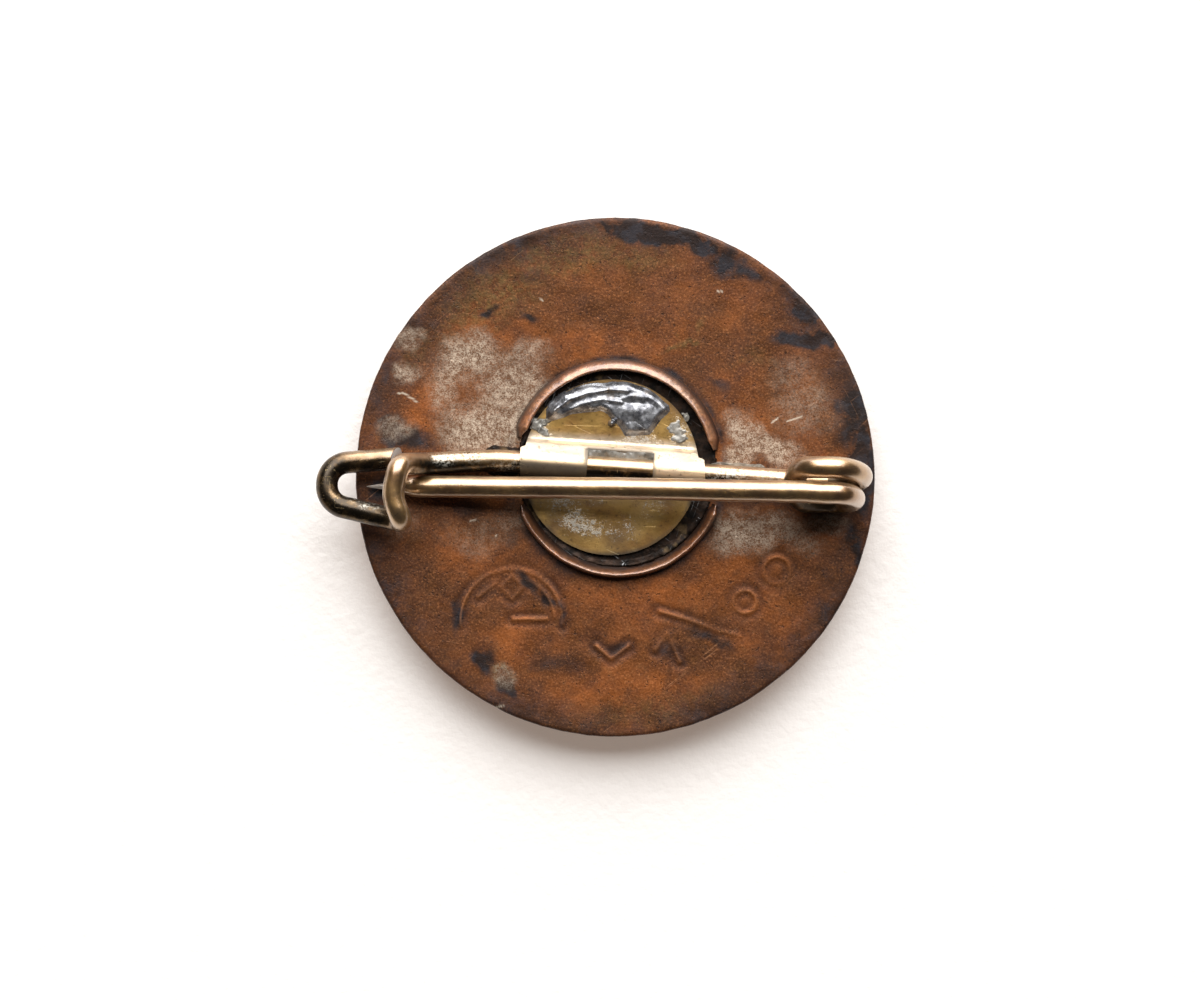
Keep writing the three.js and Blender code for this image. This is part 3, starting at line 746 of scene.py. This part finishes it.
def collar_shape(section, centre, middle, start, end, seed):
    """Part of the low copper ring with worn, tapering ends, and its mask of dirt and painted shade, darker
    towards its foot.
    """
    count = int(abs(end - start) * 2.6)
    angles = np.radians(np.linspace(start, end, count))
    length = np.abs(angles - angles[0]) * middle
    left = np.minimum(length, length[-1] - length)
    taper = mix(0.45, 1.0, ramp(left, 0.0, 0.55))
    grid = np.empty((count, len(section), 3))
    wide, tall = np.array(section).T
    radius = middle + wide[None, :] * taper[:, None]
    grid[..., 0] = centre[0] + radius * np.cos(angles)[:, None]
    grid[..., 1] = centre[1] + radius * np.sin(angles)[:, None]
    grid[..., 2] = BACK_Z + np.where(tall > 0, tall * taper[:, None] ** 0.8, tall)
    points = grid.reshape(-1, 3)
    high = ramp(points[:, 2], BACK_Z + 0.05, BACK_Z + 0.4)
    points[:, 2] += high * (layered(points, (0.022, 1.7, seed), (0.014, 0.5, seed + 2)) - 0.01)
    out = layered(points, (0.02, 1.2, seed + 5), (0.016, 0.35, seed + 7), (0.008, 0.15, seed))
    aim = points[:, :2] - centre
    points[:, :2] += aim / np.linalg.norm(aim, axis=1)[:, None] * (high * out)[:, None]
    # Darker towards the foot, next to the disc: dirt and painted shade.
    dirt_and_shade = fade(points[:, 2], BACK_Z + 0.1, BACK_Z + 0.52)
    return rings_to_solid(grid), {"dirt_and_shade": np.append(dirt_and_shade, [0.5, 0.5])}


# ---- pin plate ----


def ridge_section():
    """Points (across, height, normal across, normal up) over the top of the plate, foot to foot."""
    near = []
    foot = RIDGE_OUT_R + FOOT_R
    split = math.degrees(math.acos((WINDOW_HALF - foot) / FOOT_R))
    for angle in sorted([*np.linspace(90, 180, 11), split]):
        a = -math.radians(angle)
        near.append((-foot - FOOT_R * math.cos(a), WIRE_Z + FOOT_R * math.sin(a), math.cos(a), -math.sin(a)))
    crest = []
    for angle in np.linspace(180, 45, 19)[1:]:
        a = math.radians(angle)
        out, up = math.cos(a), math.sin(a)
        crest.append((RIDGE_OUT_R * out, WIRE_Z + RIDGE_OUT_R * up, out, up))
    lean = math.sqrt(0.5)
    top_v, top_z = crest[-1][:2]
    steps = sorted([*np.linspace(top_v + 0.07, 0.98, 8), WINDOW_HALF])
    slope = [(v, top_z + top_v - v, lean, lean) for v in steps]
    toe = [
        (1.05, 0.50, 0.88, 0.47), (1.09, 0.40, 0.93, 0.37), (1.14, 0.31, 0.7, 0.71), (1.21, 0.262, 0.3, 0.95),
        (1.3, PLATE_TOP, 0.0, 1.0),
    ]
    return near + crest + slope + toe


def plate_shape():
    turn = math.atan(RIDGE_SLOPE)
    c, s = math.cos(turn), math.sin(turn)
    offset = PLATE_CENTRE - [0, RIDGE_Y]
    mid_u = c * offset[0] + s * offset[1]
    mid_v = c * offset[1] - s * offset[0]
    ridge = ridge_section()
    low = [(v, PLATE_TOP, 0.0, 1.0) for v in mid_v - PLATE_R * np.cos(np.linspace(0.03, 1.26, 40))]
    low = [row for row in low if row[0] < ridge[0][0] - 0.02]
    high = [(v, PLATE_TOP, 0.0, 1.0) for v in mid_v + PLATE_R * np.cos(np.linspace(1.32, 0.03, 40))]
    high = [row for row in high if row[0] > ridge[-1][0] + 0.02]
    rows = low + ridge + high
    parts = [np.linspace(0, 1, n) for n in (30, 32, 25)]
    edge_chord = math.sqrt(PLATE_R**2 - WINDOW_HALF**2)
    top, bottom, cut_rows = [], [], []
    for v, z, nv, nz in rows:
        chord = math.sqrt(max(PLATE_R**2 - (v - mid_v) ** 2, 0.01))
        share = chord / edge_chord
        knuckle = fade(abs(v), KNUCKLE_HALF - 0.03, KNUCKLE_HALF + 0.03)
        left = mix(mid_u - chord, RIDGE_ENDS[0] - 0.07 * v, knuckle)
        right = mix(mid_u + chord, RIDGE_ENDS[1] - 0.12 * v, knuckle)
        window = [mid_u + (edge - mid_u) * share for edge in WINDOW]
        if abs(v) <= WINDOW_HALF + 1e-6:
            window = list(WINDOW)
        cut_rows.append(abs(v) <= WINDOW_HALF + 1e-6)
        u = np.concatenate([
            mix(left, window[0], parts[0]), mix(*window, parts[1])[1:], mix(window[1], right, parts[2])[1:],
        ])
        for sheet, depth in ((top, 0.0), (bottom, PLATE_THICK)):
            across, up = v - nv * depth, z - nz * depth
            x, y = c * u - s * across, RIDGE_Y + s * u + c * across
            sheet.append(np.stack([x, y, BACK_Z + up + 0 * u], axis=1))
    top, bottom = np.array(top), np.array(bottom)
    columns = top.shape[1]
    first, last = len(parts[0]) - 1, len(parts[0]) + len(parts[1]) - 2

    def in_window(i, j):
        return cut_rows[i] and cut_rows[i + 1] and first <= j < last

    faces = grid_faces(len(rows), columns, ring=False, skip=in_window)
    for sheet in (top, bottom):
        points = sheet.reshape(-1, 3)
        points[:, 2] += layered(flat(*points.T[:2]), (0.018, 1.9, 2), (0.010, 0.6, 5)) - 0.008
        points[:, :2] += 0.012 * np.stack([bumps(points, 0.7, 3.0), bumps(points, 0.7, 6.0)], axis=1)
    return shell(top.reshape(-1, 3), bottom.reshape(-1, 3), faces)


def plate_masks(points):
    down = points[:, 1] - RIDGE_Y - RIDGE_SLOPE * points[:, 0]
    from_edge = PLATE_R - distance_from(points, PLATE_CENTRE)
    plan = flat(points[:, 0], points[:, 1])
    tin = patches(plan, [
        (-2.6, -1.5, 1.4, 0.9, -20, 0.6), (-1.4, -2.3, 1.3, 0.8, 0, 0.85), (0.4, -2.6, 1.2, 0.6, 0, 0.5),
        (1.9, -1.5, 1.0, 0.7, 0, 0.4), (3.1, 2.3, 0.8, 0.9, 0, 0.8), (-3.5, 2.3, 0.6, 0.5, 0, 0.8),
        (0.9, 1.75, 1.2, 0.45, 0, 0.9), (3.4, 0.9, 0.6, 0.5, 0, 0.5), (-0.4, -0.9, 2.4, 0.4, 0, 0.35),
    ])
    # Darker round the plate's low edge.
    dirt_and_shade = 0.5 * fade(from_edge, 0.0, 0.25) * (points[:, 2] < BACK_Z + 0.4)
    left = fade(points[:, 0], *WINDOW)
    # The ridge's near side, away from the lamp, is painted dark: painted shade.
    near_side_shade_and_dirt = fade(down, mix(-0.45, -0.04, left), mix(-0.05, 0.16, left))
    near_side_shade_and_dirt = 0.95 * near_side_shade_and_dirt * ramp(down, -1.35, -1.15)
    # A band of painted shadow on the plate under the pin arm.
    pin_shadow = 0.5 * bell(points[:, 1] + 1.2, 0.3)
    # Dark rims along the window's edges and at its near corners.
    edge = np.min([np.abs(points[:, 0] - side) for side in WINDOW], axis=0)
    lip = 0.75 * fade(edge, 0.03, 0.17) * fade(np.abs(down), 0.8, 0.95)
    corner = 0.9 * fade(np.hypot(edge, down + 0.62), 0.16, 0.42)
    over = (points[:, 0] > WINDOW[0]) & (points[:, 0] < WINDOW[1])
    lip = np.maximum(lip, 0.8 * over * fade(np.abs(down - WINDOW_HALF), 0.02, 0.16))
    # Random dirt blotches on the lower half, merged with the painted shade.
    blotch = 0.4 * ramp(bumps(plan, 1.0, 4.0), 0.0, 0.6) * fade(down, -1.5, -1.2)
    near_side_shade_and_dirt = np.max([near_side_shade_and_dirt, lip, corner, blotch], axis=0)
    # Paler along the ridge, most on its slope towards the lamp: a tin wash and painted highlight.
    pale_wash_and_sheen = (0.5 * ramp(down, -0.6, -0.2) + 0.5 * ramp(down, 0.05, 0.45)) * fade(down, 1.2, 1.7)
    return {"tin": tin, "dirt_and_shade": np.clip(dirt_and_shade + np.maximum(near_side_shade_and_dirt, pin_shadow), 0, 1), "pale_wash_and_sheen": pale_wash_and_sheen}


# ---- solder ----


def largest_patch(cells):
    """The biggest group of cells that touch side by side, so that no crumb lies loose beside it."""
    label = np.arange(1, cells.size + 1).reshape(cells.shape) * cells
    while True:
        spread = label.copy()
        spread[1:] = np.maximum(spread[1:], label[:-1])
        spread[:-1] = np.maximum(spread[:-1], label[1:])
        spread[:, 1:] = np.maximum(spread[:, 1:], label[:, :-1])
        spread[:, :-1] = np.maximum(spread[:, :-1], label[:, 1:])
        spread *= cells
        if (spread == label).all():
            return label == np.bincount(label[cells]).argmax()
        label = spread


def lumps(outline_height, x_range, y_range, step, base, sink=0.05):
    """A closed solid under a height field; where the height falls below the base it stays `sink` under it."""
    xs = np.arange(x_range[0], x_range[1] + step, step)
    ys = np.arange(y_range[0], y_range[1] + step, step)
    x, y = np.meshgrid(xs, ys)
    plan = flat(x.ravel(), y.ravel())
    height = outline_height(plan)
    keep = (height > -sink).reshape(x.shape)
    cells = largest_patch(keep[:-1, :-1] | keep[1:, :-1] | keep[:-1, 1:] | keep[1:, 1:])
    columns = len(xs)
    faces = []
    for i, j in np.argwhere(cells).tolist():
        k = i * columns + j
        faces.append((k, k + 1, k + columns + 1, k + columns))
    top, bottom = plan.copy(), plan.copy()
    top[:, 2] = BACK_Z + base + np.maximum(height, -sink)
    bottom[:, 2] = BACK_Z + base - sink - 0.02
    return shell(top, bottom, faces)


BLOB = [
    (-3.36, 2.75), (-3.33, 3.23), (-3.14, 3.59), (-2.54, 4.02), (-1.94, 4.32), (-1.12, 4.53), (-0.15, 4.62),
    (0.95, 4.52), (1.68, 4.24), (2.16, 3.84), (2.62, 3.45), (2.66, 3.18), (2.25, 2.75), (1.97, 2.39),
    (1.68, 2.03), (1.07, 1.96), (0.47, 1.99), (0.14, 2.46), (-0.37, 2.99), (-0.73, 3.18), (-1.33, 3.11),
    (-2.18, 2.99), (-3.14, 2.63),
]


def inside_distance(plan, outline):
    """Distance to the outline, positive inside it."""
    loop = outline + outline[:1]
    distance = stroke_distance(plan, loop)
    inside = np.zeros(len(plan), bool)
    x, y = plan[:, 0], plan[:, 1]
    for (x0, y0), (x1, y1) in zip(loop[:-1], loop[1:]):
        crosses = (y0 > y) != (y1 > y)
        slope = (x1 - x0) / (y1 - y0) if y1 != y0 else 0.0
        inside ^= crosses & (x < x0 + slope * (y - y0))
    return np.where(inside, distance, -distance)


def blob_height(plan):
    reach = inside_distance(plan, BLOB) + 0.05 * bumps(plan, 0.5, 2.0)
    body = 0.2 * ramp(reach, -0.02, 0.35) + 1.5 * np.minimum(reach, 0.02)
    folds = 0.09 * np.abs(bumps(plan, 0.8, 1.0))
    folds = folds + 0.022 * bumps(plan, 0.33, 4.0) + 0.007 * bumps(plan, 0.14, 8.0)
    crest = 0.0
    for line, high in (
        ([(-2.9, 3.2), (-2.2, 3.72), (-1.3, 4.05), (-0.3, 4.2), (0.6, 4.15)], 0.07),
        ([(-2.5, 3.0), (-1.7, 3.5), (-0.6, 3.75), (0.3, 3.6)], 0.06),
        ([(0.1, 3.7), (0.8, 3.9), (1.5, 3.8)], 0.03),
        ([(-3.2, 3.0), (-2.8, 3.35)], 0.06),
    ):
        crest = crest + high * bell(stroke_distance(plan, line), 0.1)
    lump = 0.08 * np.exp(-np.sum(np.square(plan[:, :2] - [1.2, 3.0]), axis=1) / 0.6)
    bead = 0.5 * ramp(-distance_from(plan, (-0.16, 2.6)), -0.24, -0.04) - 0.1
    inner = ramp(reach, 0.0, 0.2)
    return np.maximum(body + inner * (folds + crest + lump) - 0.03, bead)


def scab_height(x, y, rx, ry, high, seed):
    """A thin, ragged flake of solder."""
    def height(plan):
        wobble = 0.3 * np.stack([bumps(plan, 0.35, seed), bumps(plan, 0.35, seed + 3)], axis=1)
        dx, dy = (plan[:, :2] + wobble - [x, y]).T
        reach = np.hypot(dx / rx, dy / ry) + 0.35 * bumps(plan, 0.17, seed + 5)
        skin = 1 + 0.5 * bumps(plan, 0.2, seed + 1)
        return np.where(reach < 1.03, high * (1.3 * ramp(-reach, -1.0, -0.7) * skin - 0.3), -1.0)
    return height


def fillet_height(start, end, half, high, seed):
    """A low run of solder along the base leg, from x = start to end."""
    line = [(start, leg_y(start)), (end, leg_y(end))]

    def height(plan):
        distance = stroke_distance(plan, line)
        distance = distance + 0.06 * bumps(plan, 0.5, seed) + 0.03 * bumps(plan, 0.2, seed + 2)
        return high * (1 - np.square(distance / half)) * (1 + 0.2 * bumps(plan, 0.25, seed + 4))
    return height


def bed_height(plan):
    reach = distance_from(plan, COLLAR_CENTRE)
    angle = np.degrees(np.arctan2(plan[:, 1] - COLLAR_CENTRE[1], plan[:, 0] - COLLAR_CENTRE[0]))
    lower = bell(angle + 75, 35)
    body = 0.045 + 0.02 * bumps(plan, 0.9, 1.0) + 0.012 * bumps(plan, 0.3, 4.0)
    bank = (0.05 + 0.13 * lower) * ramp(reach, 4.45, 4.72) * (0.75 + 0.5 * bumps(plan, 0.35, 7.0))
    return np.where(reach < 4.8, np.where(reach > 3.7, body + bank, 0.03), -1.0)


def seam_height(plan):
    """Solder drawn up between the base leg and the plate, seen in the window of the ridge."""
    across = plan[:, 1] - leg_y(plan[:, 0])
    slope = mix(0.66, 0.72, ramp(across, 0.42, 0.82))
    slope = slope + 0.05 * bumps(plan, 0.4, 2.0) + 0.03 * bumps(plan, 0.15, 7.0)
    inside = (across > 0.3) & (across < 0.87) & (np.abs(plan[:, 0] - 0.23) < 1.75)
    return np.where(inside, slope, -1.0)


# ---- wire ----


def resampled(points, step=WIRE_STEP):
    points = np.asarray(points, float)
    gaps = np.linalg.norm(np.diff(points, axis=0), axis=1)
    length = np.concatenate([[0], np.cumsum(gaps)])
    at = np.linspace(0, length[-1], max(int(length[-1] / step), 2) + 1)
    return np.stack([np.interp(at, length, points[:, k]) for k in range(3)], axis=1)


def bent_path(corners):
    """Straight runs between corners (x, y, z, radius), each corner bent to its radius."""
    points = [np.array(corner[:3], float) for corner in corners]
    path = [points[0]]
    for i in range(1, len(points) - 1):
        into = points[i] - points[i - 1]
        out = points[i + 1] - points[i]
        into, out = into / np.linalg.norm(into), out / np.linalg.norm(out)
        turn = math.acos(float(np.clip(into @ out, -1, 1)))
        radius = corners[i][3]
        start = points[i] - into * radius * math.tan(turn / 2)
        inward = (out - into) / np.linalg.norm(out - into)
        centre = points[i] + inward * radius / math.cos(turn / 2)
        a = start - centre
        b = points[i] + out * radius * math.tan(turn / 2) - centre
        for t in np.linspace(0, 1, 25):
            path.append(centre + (math.sin((1 - t) * turn) * a + math.sin(t * turn) * b) / math.sin(turn))
    path.append(points[-1])
    return resampled(path)


def tube(path, radii, seed):
    """A grid of slightly worn rings along a path."""
    along = np.gradient(path, axis=0)
    along /= np.linalg.norm(along, axis=1)[:, None]
    side = np.cross(along[0], [0, 0, 1])
    if np.linalg.norm(side) < 1e-3:
        side = np.cross(along[0], [0, 1, 0])
    sides_at = []
    for direction in along:
        side = side - direction * (side @ direction)
        side = side / np.linalg.norm(side)
        sides_at.append(side)
    sides_at = np.array(sides_at)
    ups = np.cross(sides_at, along)
    radii = np.broadcast_to(radii, len(path))
    angles = np.linspace(0, 2 * math.pi, WIRE_SIDES, endpoint=False)[None, :, None]
    ring = np.cos(angles) * sides_at[:, None] + np.sin(angles) * ups[:, None]
    grid = path[:, None, :] + radii[:, None, None] * ring
    points = grid.reshape(-1, 3)
    wear = layered(points, (0.010, 1.7, seed), (0.006, 0.5, seed + 4), (0.0025, 0.2, seed))
    grid += (wear.reshape(grid.shape[:2]) * (radii / WIRE_R)[:, None])[..., None] * ring
    return grid


def coil_point(deg):
    """Middle of the wire in the coil, at an angle in degrees with 90 at its top."""
    def lane(at):
        first = mix(-0.235, 0.46, ramp(at, -60, 90))
        second = mix(-1.2, -0.76, ramp(at, 300, 450))
        return mix(first, second, ramp(at, 130, 235))

    a = np.radians(deg)
    tight = 0.36 * ramp(deg, 250, 340) * fade(deg, 380, 450)
    return np.stack([COIL_X + (COIL_R - tight) * np.cos(a), lane(deg), COIL_Z + COIL_R * np.sin(a)], axis=-1)


def leg_y(x):
    """Middle of the base leg, and of the ridge over it."""
    return RIDGE_Y + RIDGE_SLOPE * x


def fixed_wire_shape():
    """Guard, hook and base leg. The guard's end is cut at a slant."""
    path = bent_path([
        (-10.0, 0.94, GUARD_Z - 0.42),
        (-12.2, 0.755, GUARD_Z - 0.32, 6),
        (-13.83, 0.62, GUARD_Z - 0.25, 1.05),
        (-13.83, -1.25, GUARD_Z, 1.05),
        (-10.3, -2.1, GUARD_Z, 0.6),
        (-10.2, -2.06, HOOK_Z, 0.6),
        (-10.66, -0.9, HOOK_Z, 1.8),
        (-10.34, 0.62, HOOK_Z, 0.6),
        (-9.1, 0.66, WIRE_Z, 0.9),
        (-5.6, leg_y(-5.6), WIRE_Z, 8),
        (8.6, leg_y(8.6), WIRE_Z, 6),
        (COIL_X + 0.02, -0.235, WIRE_Z),
    ])
    grid = tube(path, WIRE_R, 21)
    normal = np.array([0.9, -0.12, 0.42])
    place = np.array([-10.5, 1.0, GUARD_Z - 0.4])
    cut = np.zeros(grid.shape[:2])
    along = path[0] - path[1]
    along /= np.linalg.norm(along)
    for j in range(grid.shape[1]):
        for i in range(40):
            over = (grid[i, j] - place) @ normal
            if over > 0:
                grid[i, j] -= along * over / (along @ normal)
                cut[i, j] = 1
    last = int(np.max(np.nonzero(cut.min(axis=1))[0], initial=0))
    grid, path, cut = grid[last:], path[last:], cut[last:]
    grid = np.concatenate([mix(grid[0].mean(axis=0), grid[0], 0.93)[None] + 0.02 * along, grid])
    cut = np.concatenate([np.ones((1, grid.shape[1])), 0 * cut])
    grid[..., 2] += BACK_Z
    points = grid.reshape(-1, 3)
    x, y, z = points.T
    soot = ramp(-x, 10.2, 11.2) * fade(z, BACK_Z + 2.0, BACK_Z + 2.7)
    soot *= mix(1.0, 0.45, ramp(y, 0.75, 1.15) * fade(-x, 12.6, 13.6))
    soot = np.maximum(soot, 0.3 * fade(np.abs(x + 7.4), 1.8, 2.6))
    tin = 0.8 * patches(flat(x, y), [
        (-12.0, -1.3, 1.2, 0.22, -13, 0.7), (-8.2, 0.9, 0.9, 0.5, 0, 1.0), (-7.0, 0.85, 0.9, 0.5, 0, 1.0),
        (-5.3, 0.7, 0.8, 0.5, 0, 0.6), (5.3, 0.1, 1.1, 0.7, 0, 1.1), (7.6, 0.1, 1.4, 0.4, 0, 0.5),
    ])
    across = y - leg_y(x)
    # Darker on the leg's lower side, away from the lamp, most between the hook and the plate: grime and
    # painted shade.
    darkening = fade(across + 0.2 * (x < -5), -0.14, 0.16) * ramp(x, -9.9, -9.2) * fade(x, 5.2, 6.5)
    darkening = np.maximum(darkening, fade(across, -0.35, -0.1) * ramp(x, -9.9, -9.2))
    masks = {"soot": soot, "tin": tin, "cut": cut.ravel(), "darkening": darkening}
    shape = rings_to_solid(grid)
    return shape, {key: np.append(values, [key == "cut", 0]) for key, values in masks.items()}


def coil_shape():
    path = coil_point(np.linspace(-90, 302, 150))
    grid = tube(path, WIRE_R, 31)
    grid[..., 2] += BACK_Z
    z = grid[..., 2].ravel() - BACK_Z
    # The coil darkens low down, in the arm's shadow: grime and painted shadow.
    masks = {"darkening": 0.9 * np.append(fade(z, 1.6, 2.4), [1, 1])}
    return rings_to_solid(grid), masks


def pin_shape():
    """Last part of the coil, the straight arm and its ground point."""
    end = 450 + PIN_DIP_DEG
    root = coil_point(np.array([float(end)]))[0]
    x = np.linspace(root[0], TIP_X, 260)[1:]
    y = np.interp(-x, *zip(*ARM_LINE))
    z = root[2] - (root[0] - x) * math.tan(math.radians(PIN_DIP_DEG))
    arm = np.stack([x, y, z], axis=1)
    path = resampled(np.vstack([coil_point(np.linspace(298, end, 70)), arm]), 0.075)
    smooth = path.copy()
    for _ in range(12):
        smooth[1:-1] = 0.25 * smooth[:-2] + 0.5 * smooth[1:-1] + 0.25 * smooth[2:]
    straight = smooth[:, 0] < 9.2
    path[straight] = smooth[straight]
    on_arm = np.arange(len(path)) > len(path) // 4
    radii = np.where(on_arm, np.interp(-path[:, 0], *zip(*ARM_RADII)), WIRE_R)
    grid = tube(path, radii, 41)
    grid[..., 2] += BACK_Z
    x, _, z = grid.reshape(-1, 3).T
    # The pin darkens low on the coil: grime and painted shadow.
    darkening = np.append((x > 9.8) * fade(z - BACK_Z, 0.9, 1.9), [1, 0])
    # The point takes the pale cut colour: the ground metal, lightened further as painted light against the
    # hook's shade.
    point = 0.7 * ramp(-x, 10.5, 11.0)
    return rings_to_solid(grid), {"darkening": darkening, "cut": np.append(point, [0, 0.7])}


# ---- the badge ----

copper = copper_material("copper_back", masked=True)
copper_ring = copper_material("copper_collar", masked=False)
wire = brass_wire_material()
sheet = brass_sheet_material()
bright_solder = solder_material("solder", tone(166, 166, 169), tone(96, 96, 101), 0.24, 0.42, 0.8, 0.014)
dirty_solder = solder_material("solder_dirty", tone(46, 32, 23), tone(18, 14, 11), 0.36, 0.6, 0.8)
run_solder = solder_material("solder_run", tone(176, 170, 158), tone(98, 92, 80), 0.3, 0.5, 0.7, 0.02)
scab_solder = solder_material("solder_scab", tone(164, 160, 152), tone(112, 108, 100), 0.4, 0.65, 0.5, 0.012)
cream = enamel_material("enamel_cream", tone(232, 224, 204), tone(216, 205, 180), tone(160, 140, 110))
blue = enamel_material("enamel_blue", tone(26, 54, 116), tone(16, 36, 88), tone(70, 100, 150))


def add_solder(name, node, material, height, x_range, y_range, step, base=0.0, sink=0.05):
    """A run, lump or flake of solder on the badge."""
    shape = lumps(height, x_range, y_range, step, base, sink)
    add_piece(name, "badge", node, "solder", material, shape, sharp=80)


above = collar_shape(LIP_SLOPED, (0.02, 0.55), 4.86, 9.0, 163.2, 3.0)
below = collar_shape(LIP_FLARED, (0.17, 0.36), 4.92, 199.8, 340.2, 13.0)
plate = plate_shape()
left_scab = scab_height(-3.52, 2.4, 0.42, 0.5, 0.06, 1.0)
right_scab = scab_height(3.05, 2.4, 0.5, 0.62, 0.05, 5.0)
left_run = fillet_height(-5.7, -4.9, 0.72, 0.5, 9.0)
right_run = fillet_height(4.95, 6.7, 0.68, 0.68, 4.0)

add_piece("disc", "badge", "badge_disc", "copper", copper, *disc_shape())
add_piece("field_enamel", "badge", "enamel_field", "enamel_field", cream, enamel_field_shape())
add_piece("border_enamel", "badge", "enamel_border", "enamel_border", blue, enamel_border_shape())
add_piece("collar_above", "badge", "collar_upper", "copper", copper_ring, *above, sharp=70)
add_piece("collar_below", "badge", "collar_lower", "copper", copper_ring, *below, sharp=70)
add_solder("bed", "solder_bed", dirty_solder, bed_height, (-4.8, 4.95), (-4.4, 5.3), 0.06)
add_solder("seam", None, scab_solder, seam_height, (-1.7, 2.15), (0.55, 1.5), 0.04)
add_piece("plate", "badge", "pin_plate", "brass_sheet", sheet, plate, plate_masks(plate[0]), bevel=0.035)
add_solder("blob", "solder_blob", bright_solder, blob_height, (-3.5, 2.85), (1.75, 4.75), 0.03, PLATE_TOP)
add_solder("scab_left", "solder_patch_left", scab_solder, left_scab,
           (-4.1, -2.9), (1.8, 3.1), 0.025, PLATE_TOP, 0.02)
add_solder("scab_right", "solder_patch_right", scab_solder, right_scab,
           (2.3, 3.8), (1.6, 3.2), 0.025, PLATE_TOP, 0.02)
add_solder("fillet_left", "solder_fillet_left", dirty_solder, left_run, (-6.6, -4.1), (-0.3, 1.7), 0.04)
add_solder("fillet_right", "solder_fillet_right", run_solder, right_run, (4.1, 7.8), (-1.0, 1.1), 0.04)
add_piece("catch_wire", "badge", "fixed_wire", "brass_wire", wire, *fixed_wire_shape())
add_piece("coil", "spring", "spring_coil", "brass_wire", wire, *coil_shape())
add_piece("pin", "pin", "pin_arm", "brass_wire", wire, *pin_shape())

# ---- studio ----

WINDOW_LIGHT_PLACE = (0.02, 0.52, 0.40)
WINDOW_LIGHT_SIZE = (0.9, 0.85)
WINDOW_LIGHT_WATTS = 14.5
SKY_COLOUR = (1.0, 0.98, 0.96, 1)
SKY_STRENGTH = 0.042
FLOOR_HALF = 3
CAMERA_PLACE = (-0.00073, -0.0011, 0.3022)
CAMERA_LENS = 186.8

floor_mesh = bpy.data.meshes.new("floor")
floor_corners = [(x * FLOOR_HALF, y * FLOOR_HALF, 0) for x, y in ((-1, -1), (1, -1), (1, 1), (-1, 1))]
floor_mesh.from_pydata(floor_corners, [], [(0, 1, 2, 3)])
floor_mesh.materials.append(floor_material())
floor = add_object("floor", floor_mesh)

window = bpy.data.lights.new("window", "AREA")
window.shape = "RECTANGLE"
window.size, window.size_y = WINDOW_LIGHT_SIZE
window.energy = WINDOW_LIGHT_WATTS
lamp = add_object("window", window)
lamp.location = WINDOW_LIGHT_PLACE
lamp.rotation_euler = lamp.location.to_track_quat("Z", "Y").to_euler()

world = bpy.data.worlds.new("studio")
bpy.context.scene.world = world
world.use_nodes = True
sky = world.node_tree.nodes["Background"]
sky.inputs["Color"].default_value = SKY_COLOUR
sky.inputs["Strength"].default_value = SKY_STRENGTH

camera_data = bpy.data.cameras.new("camera")
camera_data.sensor_width = 36
camera_data.lens = CAMERA_LENS
camera_data.clip_start = 0.01
camera = add_object("camera", camera_data)
camera.location = CAMERA_PLACE
bpy.context.scene.camera = camera
bpy.context.scene.view_settings.view_transform = "Standard"
